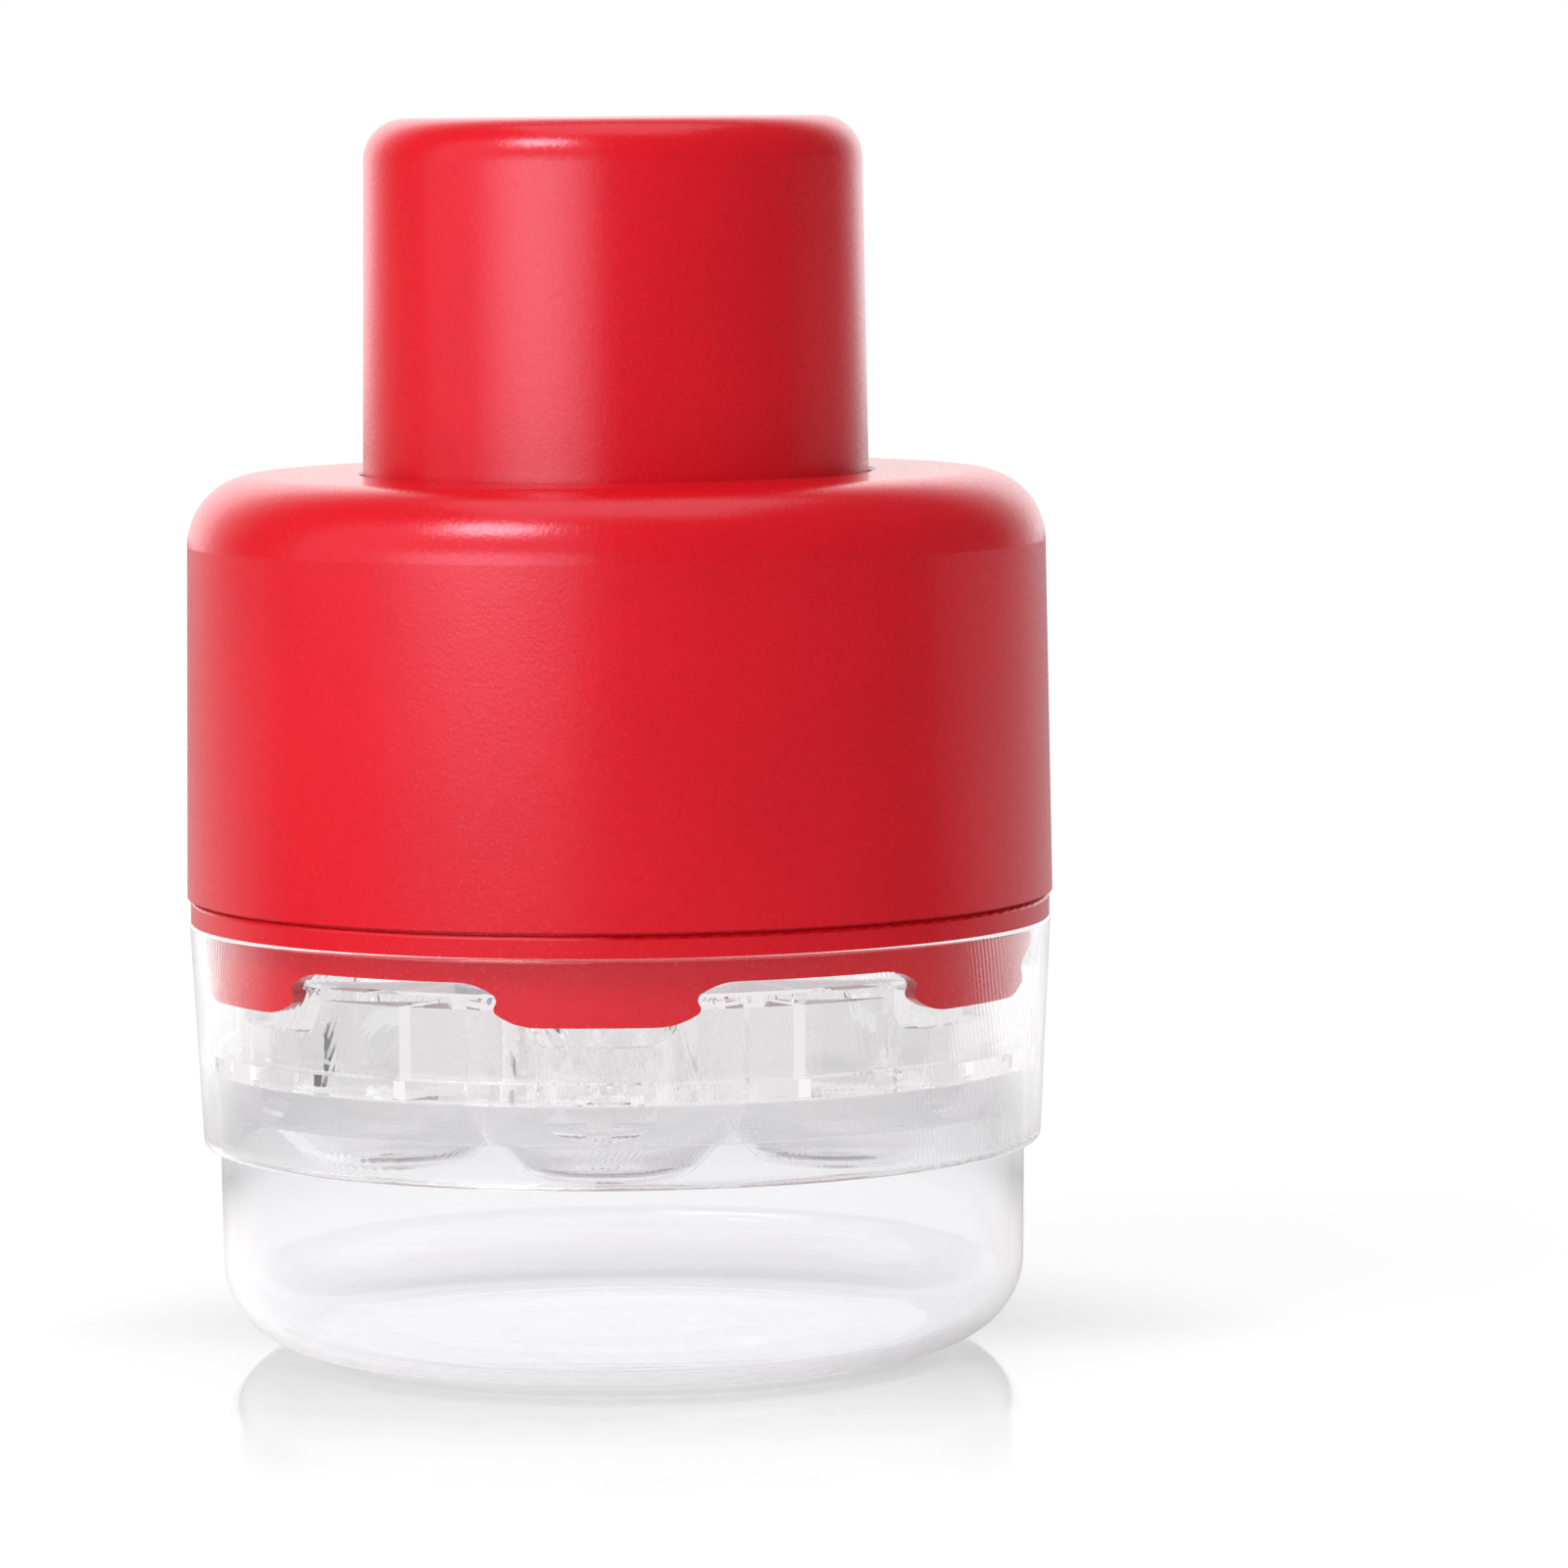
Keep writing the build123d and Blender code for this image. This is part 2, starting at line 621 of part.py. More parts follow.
# Screws: housing to guide plate, posts to guide plate, carrier to cap
housing_screws = screws(screw_boss_circle_r, finger_angle, rim_z, flange_thickness + seam_gap + screw_bite)
housing_screws.label = "housing_screws"
export_step(housing_screws, "parts/housing_screws.step")
post_screws = screws(post_circle_r, finger_angle, rim_z, flange_thickness + seam_gap + screw_bite)
post_screws.label = "post_screws"
export_step(post_screws, "parts/post_screws.step")
cap_screws = screws(cap_boss_circle_r, cap_boss_angle, carrier_z, carrier_thickness + screw_bite)
cap_screws.label = "cap_screws"
export_step(cap_screws, "parts/cap_screws.step")
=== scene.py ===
from math import asin, atan2, cos, hypot, pi, radians, sin, tan

import bpy
from bpy.props import FloatProperty, FloatVectorProperty, IntProperty, PointerProperty
from mathutils import Matrix, Vector


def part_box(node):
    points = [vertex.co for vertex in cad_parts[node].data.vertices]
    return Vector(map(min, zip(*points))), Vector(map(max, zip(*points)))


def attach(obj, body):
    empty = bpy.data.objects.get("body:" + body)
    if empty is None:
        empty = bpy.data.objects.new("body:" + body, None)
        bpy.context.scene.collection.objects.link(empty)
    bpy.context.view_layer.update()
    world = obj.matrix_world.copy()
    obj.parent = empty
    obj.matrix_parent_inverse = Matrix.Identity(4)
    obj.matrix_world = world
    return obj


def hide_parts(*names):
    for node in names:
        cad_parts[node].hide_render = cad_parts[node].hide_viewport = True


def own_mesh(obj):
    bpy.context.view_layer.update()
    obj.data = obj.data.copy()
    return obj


bl_info = {
    "name": "Multi cherry pitter",
    "version": (1, 0, 0),
    "blender": (4, 5, 0),
    "location": "3D View > Sidebar > Cherry pitter",
    "description": "Dresses the packed cherry pitter and lights it on a plain floor",
    "category": "Object",
}

MM = 0.001
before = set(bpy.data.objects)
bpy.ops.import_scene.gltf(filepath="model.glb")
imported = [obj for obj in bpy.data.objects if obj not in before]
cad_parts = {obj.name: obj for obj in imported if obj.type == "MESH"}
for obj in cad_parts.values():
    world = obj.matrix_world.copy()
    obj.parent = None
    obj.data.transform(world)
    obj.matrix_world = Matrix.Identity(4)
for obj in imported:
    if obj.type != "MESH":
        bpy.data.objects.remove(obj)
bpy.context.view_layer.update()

# Steps around the axis and along the roundings of the pieces
TURNED_STEPS = 96  # around small turned pieces and the prongs
CUP_STEPS = 256  # around the cup
SCREW_STEPS = 24  # around a screw
CORNER_STEPS = 24  # along the cup's bottom corner
ROUNDING_STEPS = 6  # along a small rounding and a screw's head
BUSH_ROUNDING_STEPS = 4  # along a bush's roundings
COIL_STEPS = 48  # along one turn of a spring
WIRE_STEPS = 16  # around a spring's wire
THREAD_ROWS = 8  # along one turn of a thread
THREAD_RUNOUT = 4  # rows over which a thread swells from each end

# Shapes that no setting changes
AXIS_RING = 0.01 * MM  # radius of the tiny circle that a shell is turned along
SHARP_ANGLE = radians(32)  # edges steeper than this stay crisp in the shading
FLAT_SHARE = 0.99  # share of the cup's flat base that a point beside its corner keeps flat
ROD_CHAMFER = 0.3 * MM  # on the ends of a prong
CROWN_SHARE = 0.9  # share of a prong's radius over which its hollow end falls
POST_FOOT = 0.2 * MM  # rounding on a post's lower end
POST_HOLE = 0.15 * MM  # rounding on the mouth of its tapped hole
BUSH_BORE = 0.25 * MM  # rounding on both ends of a bush's bore
BUSH_END = 0.15 * MM  # rounding on a bush's upper end
FLANGE_TOP = 0.2 * MM  # rounding on a flange's upper edge
FLANGE_FOOT = 0.3 * MM  # rounding on a flange's lower edge
POINT_TAPER = 0.6  # share of a screw's point that its radius loses
POST_COUNT = 3  # posts, and screws in each group
FLUTE_EDGE = 1e-6  # angle beside a flute's edge that still counts as the plain rod

# Textures and tones
NOISE_SPAN = {"From Min": 0.3, "From Max": 0.7}  # nearly all of a noise lies between these values
RING_SCALE = 2 * pi / 20  # scale at which the rings of a wave texture are a metre apart
ARCS_SHIFT = (30 * MM, 75 * MM, -30 * MM)  # puts the middle of the cutter's arcs beside the tray
DEEP_SHARE = 0.94  # brightness of the red's deeper tone
ZINC_SHADE = "#AEB4BC"  # darker tone in the mottle of the zinc

# How paths of light end inside the clear walls
MOST_BOUNCES = 2.5  # a path that counts more than this ends
WALL_WEIGHT = 0.27  # how much a crossed wall counts beside a glossy bounce
DIFFUSE_WEIGHT = -4.0  # what a diffuse bounce takes off the count on its way to the red
# The red pales into a painted grey glow, an emission that stands in for its light
CARRIED_SHARE = 0.75  # how far the red at such a path's end pales

# The floor's fades: what they follow, where they start and end in metres, and the values there. None stands for
# the stage's floor glow.
FLOOR_FADES = {
    "nearby": ("distance", 0.04, 0.15, 0.55, 0.0),  # strength of the mirror image around the cup
    "before": ("depth", -0.02, 0.02, 1.0, 0.0),  # in front of the object, where the mirror image is
    # The next two fades are painted shade: they darken the floor's colour only where the object reflects it
    "beside": ("distance", 0.1, 0.25, 1.0, 0.1),  # brightness in the object's gloss, close to it
    "behind": ("depth", 0.0, 0.3, 0.1, 1.0),  # brightness in the object's gloss, behind it
    "glow": ("distance", 0.035, 0.095, 0.84, None),  # strength of its own light
    "share": ("distance", 0.2, 0.6, 0.8, 1.0),  # share of that light beside the diffuse surface
}
MIRROR_GREY = (0.68, 0.68, 0.68, 1.0)
MIRROR_ROUGHNESS = 0.03
FLOOR_HALF = 3.0  # half the floor's side, in metres

# The room: brightness at places on the way from the camera's side (0) to the wall behind the object (1)
WALL_SIDE = (-0.09, 0.996, 0.0)  # direction of that wall
IN_GLOSS = ((0.0, 0.02), (0.5, 0.05), (0.78, 0.1), (0.89, 0.8), (0.94, 1.8), (1.0, 1.5))
SEEN_THROUGH = ((0.0, 0.85), (0.5, 0.93), (0.8, 1.0))
PALER_GLOSS = -0.2  # what the gloss behind a clear wall loses
RAMP_PEAK = 2.0  # strength that a ramp's full value stands for, as a stop can't be more than 1

# The lamps: place, the point that they face and size, in metres
HEART = (0, 0, 0.09)
WIDE_KEY = ((-0.45, -0.4, 0.45), (0, 0, 0.45), (1.1, 0.76))
CORE_PLACE = (-0.3, -0.5)
CORE_LEVEL = 0.165  # height of the panels' middles
CORE_HEIGHT = 0.16
CORE_PANELS = ((1.0, 0.6), (0.97, 0.4), (0.94, 0.2))  # share of the way to the place, and width
HIGH_KEY = ((-0.31, -0.39, 0.68), HEART, (0.26, 0.2))
TOP_PANEL = ((0, 0.1, 1.3), HEART, (0.9, 0.9))

# The camera, solved from the photograph
SENSOR_WIDTH = 36.0  # in millimetres
FOCAL_LENGTH = 195.6  # in millimetres
CAMERA_PLACE = (62.4 * MM, -1078.4 * MM, 160.1 * MM)
CAMERA_TURN = radians(2.2)
CAMERA_TILT = radians(90 - 4.717)
CAMERA_ROLL = radians(-0.497)


# Reading the frame


def linear(code):
    """Linear RGBA of an sRGB hex colour."""
    parts = [int(code[place:place + 2], 16) / 255 for place in (1, 3, 5)]
    return [part / 12.92 if part <= 0.04045 else ((part + 0.055) / 1.055) ** 2.4 for part in parts] + [1.0]


def middle(node):
    """Centre of a CAD node's box."""
    low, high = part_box(node)
    return (low + high) / 2


def width(node):
    """Size of a CAD node along X."""
    low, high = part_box(node)
    return high.x - low.x


def circle_of(node):
    """Radius and angle at which a node stands on its circle around the axis."""
    place = middle(node)
    return hypot(place.x, place.y), atan2(place.y, place.x)


# Sizes and colours that a user would change


def length(name, description, size):
    """A length property with its default in millimetres."""
    return FloatProperty(name=name, description=description, default=size * MM, min=0.0, unit="LENGTH", precision=5)


def colour(name, description, code):
    """A colour property with its default as an sRGB hex value."""
    return FloatVectorProperty(
        name=name, description=description, default=linear(code), size=4, min=0.0, max=1.0, subtype="COLOR"
    )


class PitCupSizes(bpy.types.PropertyGroup):
    """Sizes of the clear cup that its box doesn't give"""

    wall: length("Wall", "Thickness of the cup's wall and base", 1.5)
    draft: length("Draft", "How much wider the cup is at its rim than above its corner", 0.3)
    corner_width: length("Corner width", "Width of the rounded bottom corner", 12.0)
    corner_height: length("Corner height", "Height of the rounded bottom corner", 11.0)
    rim_rounding: length("Rim rounding", "Radius on both edges of the rim", 0.4)


class ProngSizes(bpy.types.PropertyGroup):
    """Sizes of the steel prongs"""

    spigot_radius: length("Spigot radius", "Radius of the end held in the carrier", 1.8)
    spigot_length: length("Spigot length", "Length of the end held in the carrier", 3.5)
    flute_radius: length("Flute radius", "Radius of the four flutes at the tip", 1.3)
    flute_length: length("Flute length", "Length of the flutes", 12.0)
    crown_depth: length("Crown depth", "Depth of the hollow between the four points", 1.2)


class PostSizes(bpy.types.PropertyGroup):
    """Sizes of the posts, their bushes and the springs around them"""

    end_rounding: length("End rounding", "Radius on the upper end of a post", 0.8)
    tapped_radius: length("Tapped hole", "Radius of the hole in a post's foot", 1.55)
    tapped_depth: length("Tapped depth", "Depth of the hole in a post's foot", 9.0)
    bush_bore: length("Bush bore", "Radius of the bore that slides on a post", 2.7)
    bush_radius: length("Bush radius", "Radius of a bush inside the carrier", 4.0)
    bush_flange: length("Bush flange", "Thickness of a bush's flange", 1.2)
    wire_radius: length("Wire radius", "Radius of the spring wire", 0.6)
    turns: IntProperty(name="Turns", description="Number of turns of a spring", default=7, min=1)


class ScrewSizes(bpy.types.PropertyGroup):
    """Sizes of the screws"""

    head_radius: length("Head radius", "Radius of a screw head", 2.8)
    head_height: length("Head height", "Height of a screw head", 1.8)
    thread_radius: length("Thread radius", "Radius over the thread's crest", 1.5)
    thread_depth: length("Thread depth", "Depth of the thread", 0.35)
    thread_pitch: length("Thread pitch", "Distance from one turn of the thread to the next", 1.2)
    recess_length: length("Recess length", "Length of the cross recess", 3.4)
    recess_width: length("Recess width", "Width of the cross recess", 0.7)
    recess_depth: length("Recess depth", "Depth of the cross recess", 1.0)


class FinishColours(bpy.types.PropertyGroup):
    """Colours of the finishes"""

    red: colour("Red", "Mass-coloured ABS of the housing, plunger and guide plate", "#E20F1E")
    clear_cup: colour("Clear cup", "Faint tint of the clear cup", "#F5F5F6")
    clear_tray: colour("Clear tray", "Faint tint of the clear tray", "#FCFCFC")
    # Painted glow: colours of the emission that stands in for the light at the end of deep paths in the clear walls
    cup_depth: colour("Cup in depth", "What is left of the light after many walls of the cup", "#F6F6F7")
    tray_depth: colour("Tray in depth", "What is left of the light after many walls of the tray", "#FFFBFD")
    # Painted glow: colour of the grey emission that stands in for the red's light deep inside the clear walls
    carried_glow: colour("Carried grey", "What is left of the red where the clear walls carry it along", "#C4BFC2")
    white: colour("White", "Natural acetal of the carrier and bushes", "#ECEBE4")
    steel: colour("Steel", "Drawn stainless steel of the prongs and posts", "#C9C9CB")
    wire: colour("Wire", "Drawn spring wire", "#B4B4B8")
    zinc: colour("Zinc", "Zinc plate on the screws", "#BFC3C7")


class StageSettings(bpy.types.PropertyGroup):
    """Floor and light"""

    floor: colour("Floor", "Colour of the plain floor", "#FFFFFF")
    wide_radiance: FloatProperty(name="Wide light", description="Radiance of the wide front left softbox", default=0.5)
    core_radiance: FloatProperty(name="Core light", description="Radiance of each panel in its middle", default=0.9)
    high_radiance: FloatProperty(name="High light", description="Radiance of the high front left lamp", default=11.2)
    top_radiance: FloatProperty(name="Top light", description="Radiance of the panel overhead", default=0.9)
    glow: FloatProperty(name="Floor glow", description="Strength that keeps the floor white to the eye", default=1.08)
    fill: FloatProperty(name="Fill", description="Strength of the room's plain light on surfaces", default=0.43)
    veil: FloatProperty(name="Veil", description="Strength of the plain light behind the clear walls", default=1.1)


class CherryPitterSettings(bpy.types.PropertyGroup):
    """All sizes and colours"""

    cup: PointerProperty(type=PitCupSizes)
    prong: PointerProperty(type=ProngSizes)
    post: PointerProperty(type=PostSizes)
    screw: PointerProperty(type=ScrewSizes)
    finish: PointerProperty(type=FinishColours)
    stage: PointerProperty(type=StageSettings)


# Nodes


def add(tree, kind, inputs=None, **settings):
    """Adds a node with its settings. Each input is a value, or the output socket that feeds it."""
    node = tree.nodes.new(kind)
    for name, value in settings.items():
        setattr(node, name, value)
    for key, value in (inputs or {}).items():
        if isinstance(value, bpy.types.NodeSocket):
            tree.links.new(value, node.inputs[key])
        else:
            node.inputs[key].default_value = value
    return node


def geometry_tree(name, sockets):
    """A Geometry Nodes tree with a geometry input and these named inputs. Returns it and its input sockets."""
    tree = bpy.data.node_groups.new(name, "GeometryNodeTree")
    tree.interface.new_socket("Geometry", in_out="INPUT", socket_type="NodeSocketGeometry")
    for label, kind in sockets.items():
        tree.interface.new_socket(label, in_out="INPUT", socket_type=kind)
    tree.interface.new_socket("Geometry", in_out="OUTPUT", socket_type="NodeSocketGeometry")
    return tree, add(tree, "NodeGroupInput").outputs


def finish_tree(tree, geometry, material):
    """Ends a tree in real geometry that carries its material."""
    real = add(tree, "GeometryNodeRealizeInstances", {"Geometry": geometry})
    dressed = add(tree, "GeometryNodeSetMaterial", {"Geometry": real.outputs[0], "Material": material})
    add(tree, "NodeGroupOutput", {"Geometry": dressed.outputs[0]})
    return tree


def grown(name, mesh, tree, values):
    """The plain mesh that a tree grows from a start mesh with these input values."""
    carrier = bpy.data.objects.new(name, mesh)
    bpy.context.scene.collection.objects.link(carrier)
    modifier = carrier.modifiers.new(tree.name, "NODES")
    modifier.node_group = tree
    for item in tree.interface.items_tree:
        if item.item_type == "SOCKET" and item.in_out == "INPUT" and item.name in values:
            modifier[item.identifier] = values[item.name]
    depsgraph = bpy.context.evaluated_depsgraph_get()
    result = bpy.data.meshes.new_from_object(carrier.evaluated_get(depsgraph))
    result.name = name
    bpy.data.objects.remove(carrier)
    return result


def piece(name, mesh, body, replaced):
    """Puts a finished mesh into the scene, riding on its body in place of the CAD nodes that it stands for."""
    mesh.shade_smooth()
    mesh.set_sharp_from_angle(angle=SHARP_ANGLE)
    made = bpy.data.objects.new(name, mesh)
    bpy.context.scene.collection.objects.link(made)
    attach(made, body)
    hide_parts(*replaced)
    return made


def turned_tree():
    """Turns an outline around the Z axis into a closed shell."""
    tree, given = geometry_tree("Turned shell", {"Segments": "NodeSocketInt", "Material": "NodeSocketMaterial"})
    outline = add(tree, "GeometryNodeMeshToCurve", {"Mesh": given["Geometry"]})
    axis = add(
        tree, "GeometryNodeCurvePrimitiveCircle", {"Resolution": given["Segments"], "Radius": AXIS_RING}, mode="RADIUS"
    )
    shell = add(tree, "GeometryNodeCurveToMesh", {"Curve": axis.outputs[0], "Profile Curve": outline.outputs[0]})
    closed = add(tree, "GeometryNodeMergeByDistance", {"Geometry": shell.outputs[0], "Distance": 3 * AXIS_RING})
    return finish_tree(tree, closed.outputs[0], given["Material"])


def ring_tree():
    """Sets copies of a piece at even steps on a circle around the axis, and one in the middle if asked."""
    tree, given = geometry_tree(
        "Ring of copies",
        {
            "Count": "NodeSocketInt",
            "Circle Radius": "NodeSocketFloat",
            "First Angle": "NodeSocketFloat",
            "Middle Copy": "NodeSocketBool",
            "Material": "NodeSocketMaterial",
        },
    )
    circle = add(tree, "GeometryNodeMeshCircle", {"Vertices": given["Count"], "Radius": given["Circle Radius"]})
    turn = add(tree, "ShaderNodeCombineXYZ", {"Z": given["First Angle"]})
    places = add(tree, "GeometryNodeTransform", {"Geometry": circle.outputs[0], "Rotation": turn.outputs[0]})
    copies = add(tree, "GeometryNodeInstanceOnPoints", {"Points": places.outputs[0], "Instance": given["Geometry"]})
    centre = add(
        tree, "GeometryNodeSwitch", {"Switch": given["Middle Copy"], "True": given["Geometry"]}, input_type="GEOMETRY"
    )
    both = add(tree, "GeometryNodeJoinGeometry", {"Geometry": copies.outputs[0]})
    tree.links.new(centre.outputs[0], both.inputs["Geometry"])
    return finish_tree(tree, both.outputs[0], given["Material"])


def spring_tree():
    """Winds a wire from the foot up, capped at both ends."""
    tree, given = geometry_tree(
        "Wound spring",
        {
            "Turns": "NodeSocketFloat",
            "Coil Radius": "NodeSocketFloat",
            "Wire Radius": "NodeSocketFloat",
            "Foot": "NodeSocketFloat",
            "Rise": "NodeSocketFloat",
            "Material": "NodeSocketMaterial",
        },
    )
    helix = add(
        tree,
        "GeometryNodeCurveSpiral",
        {
            "Resolution": COIL_STEPS,
            "Rotations": given["Turns"],
            "Start Radius": given["Coil Radius"],
            "End Radius": given["Coil Radius"],
            "Height": given["Rise"],
        },
    )
    section = add(
        tree,
        "GeometryNodeCurvePrimitiveCircle",
        {"Resolution": WIRE_STEPS, "Radius": given["Wire Radius"]},
        mode="RADIUS",
    )
    wire = add(
        tree,
        "GeometryNodeCurveToMesh",
        {"Curve": helix.outputs[0], "Profile Curve": section.outputs[0], "Fill Caps": True},
    )
    lift = add(tree, "ShaderNodeCombineXYZ", {"Z": given["Foot"]})
    raised = add(tree, "GeometryNodeTransform", {"Geometry": wire.outputs[0], "Translation": lift.outputs[0]})
    return finish_tree(tree, raised.outputs[0], given["Material"])


def recess_tree():
    """Cuts a cross recess into the underside of a screw head."""
    tree, given = geometry_tree(
        "Cross recess",
        {
            "Length": "NodeSocketFloat",
            "Width": "NodeSocketFloat",
            "Depth": "NodeSocketFloat",
            "Foot": "NodeSocketFloat",
            "Material": "NodeSocketMaterial",
        },
    )
    tall = add(tree, "ShaderNodeMath", {0: given["Depth"], 1: 2.0}, operation="MULTIPLY")
    place = add(tree, "ShaderNodeCombineXYZ", {"Z": given["Foot"]})
    cut = add(tree, "GeometryNodeMeshBoolean", {"Mesh 1": given["Geometry"]}, operation="DIFFERENCE", solver="EXACT")
    for along, across in (("Length", "Width"), ("Width", "Length")):
        size = add(tree, "ShaderNodeCombineXYZ", {"X": given[along], "Y": given[across], "Z": tall.outputs[0]})
        block = add(tree, "GeometryNodeMeshCube", {"Size": size.outputs[0]})
        moved = add(tree, "GeometryNodeTransform", {"Geometry": block.outputs[0], "Translation": place.outputs[0]})
        tree.links.new(moved.outputs[0], cut.inputs["Mesh 2"])
    return finish_tree(tree, cut.outputs[0], given["Material"])


# Mesh helpers


def rounded_outline(corners, steps=ROUNDING_STEPS):
    """Points of an outline through (radius, height, rounding) corners, with a point beside each rounding
    that keeps the flat next to it flat."""
    points = []
    for index, (radius, height, rounding) in enumerate(corners):
        corner = Vector((radius, height))
        if not rounding:
            points.append(corner)
            continue
        before = (Vector(corners[index - 1][:2]) - corner).normalized()
        after = (Vector(corners[(index + 1) % len(corners)][:2]) - corner).normalized()
        half = before.angle(after) / 2
        reach = rounding / tan(half)
        centre = corner + (before + after).normalized() * rounding / sin(half)
        start, end = corner + before * reach - centre, corner + after * reach - centre
        points.append(corner + before * (reach + rounding / 4))
        points.extend(centre + start.slerp(end, step / steps) * rounding for step in range(steps + 1))
        points.append(corner + after * (reach + rounding / 4))
    return points


def turned(name, outline, material, segments=TURNED_STEPS):
    """A shell turned from an outline of (radius, height) points that runs clockwise. It is closed through the
    axis if it ends there."""
    count = len(outline)
    edges = [(index, index + 1) for index in range(count - 1)]
    if outline[0][0] > 0 or outline[-1][0] > 0:
        edges.append((count - 1, 0))
    mesh = bpy.data.meshes.new(name)
    mesh.from_pydata([(radius - AXIS_RING, -height, 0) for radius, height in outline], edges, [])
    return grown(name, mesh, turned_tree(), {"Segments": segments, "Material": material})


def skinned(name, rings, material):
    """A closed mesh through rings of as many points each, from the lowest up."""
    count = len(rings[0])
    points = [point for ring in rings for point in ring]
    faces = [tuple(reversed(range(count)))]
    for level in range(len(rings) - 1):
        for index in range(count):
            beside = (index + 1) % count
            low, high = level * count, (level + 1) * count
            faces.append((low + index, low + beside, high + beside, high + index))
    faces.append(tuple(range(len(points) - count, len(points))))
    mesh = bpy.data.meshes.new(name)
    mesh.from_pydata(points, [], faces)
    mesh.materials.append(material)
    return mesh


def ring_at(count, height, radius):
    """A ring of points around the axis. Height and radius are numbers, or functions of the angle."""
    points = []
    for index in range(count):
        angle = 2 * pi * index / count
        reach = radius(angle) if callable(radius) else radius
        rise = height(angle) if callable(height) else height
        points.append((reach * cos(angle), reach * sin(angle), rise))
    return points


# Materials


def new_material(name):
    """A new material and its empty tree."""
    material = bpy.data.materials.new(name)
    material.use_nodes = True
    material.node_tree.nodes.clear()
    return material, material.node_tree


def noise(tree, size, detail=2.0, stretch=(1.0, 1.0, 1.0)):
    """Noise on the piece's own coordinates whose grains are about this many metres across."""
    place = add(tree, "ShaderNodeTexCoord").outputs["Object"]
    scaled = add(tree, "ShaderNodeMapping", {"Vector": place, "Scale": stretch})
    return add(
        tree, "ShaderNodeTexNoise", {"Vector": scaled.outputs[0], "Scale": 1 / size, "Detail": detail}
    ).outputs["Fac"]


def bounced(tree, kind):
    """1 where the path has bounced off a surface of this kind before, else 0."""
    depth = add(tree, "ShaderNodeLightPath").outputs[kind + " Depth"]
    return add(tree, "ShaderNodeMath", {0: depth, 1: 0.5}, operation="GREATER_THAN").outputs[0]


def red_abs(finish):
    """Satin red ABS, mass coloured and injection moulded. The mould was spark eroded, and the fine even grain
    that this leaves turns every reflection into a soft, wide sheen."""
    material, tree = new_material("Satin red moulded ABS")
    # The real grain is about 0.2 mm; it is drawn at 0.45 mm, the finest that shows in the render
    grain = noise(tree, 0.45 * MM, 1.0)
    flow = noise(tree, 22 * MM)
    bump = add(tree, "ShaderNodeBump", {"Strength": 0.5, "Distance": 0.04 * MM, "Height": grain})
    deep = [channel * DEEP_SHARE for channel in finish.red[:3]] + [1.0]
    share = add(tree, "ShaderNodeMapRange", {"Value": flow, **NOISE_SPAN})
    tone = add(tree, "ShaderNodeMix", {0: share.outputs[0], 6: deep, 7: finish.red}, data_type="RGBA")
    rough = add(tree, "ShaderNodeMapRange", {"Value": grain, **NOISE_SPAN, "To Min": 0.22, "To Max": 0.28})
    shader = add(
        tree,
        "ShaderNodeBsdfPrincipled",
        {
            "Base Color": tone.outputs[2],
            "Roughness": rough.outputs[0],
            "IOR": 1.65,
            "Normal": bump.outputs[0],
            "Specular Tint": (1.0, 0.8, 1.0, 1.0),
        },
    )
    # Painted glow: where the clear walls carry the red along inside them, a grey emission stands in for its light, so
    # it pales to a grey
    path = add(tree, "ShaderNodeLightPath").outputs
    walls = add(
        tree,
        "ShaderNodeMath",
        {0: path["Diffuse Depth"], 1: DIFFUSE_WEIGHT, 2: path["Ray Depth"]},
        operation="MULTIPLY_ADD",
    )
    carried_glow = add(tree, "ShaderNodeMath", {0: walls.outputs[0], 1: MOST_BOUNCES}, operation="GREATER_THAN")
    paled = add(tree, "ShaderNodeMath", {0: carried_glow.outputs[0], 1: CARRIED_SHARE}, operation="MULTIPLY")
    grey = add(tree, "ShaderNodeEmission", {"Color": finish.carried_glow, "Strength": 1.0})
    mixed = add(tree, "ShaderNodeMixShader", {0: paled.outputs[0], 1: shader.outputs[0], 2: grey.outputs[0]})
    add(tree, "ShaderNodeOutputMaterial", {"Surface": mixed.outputs[0]})
    return material


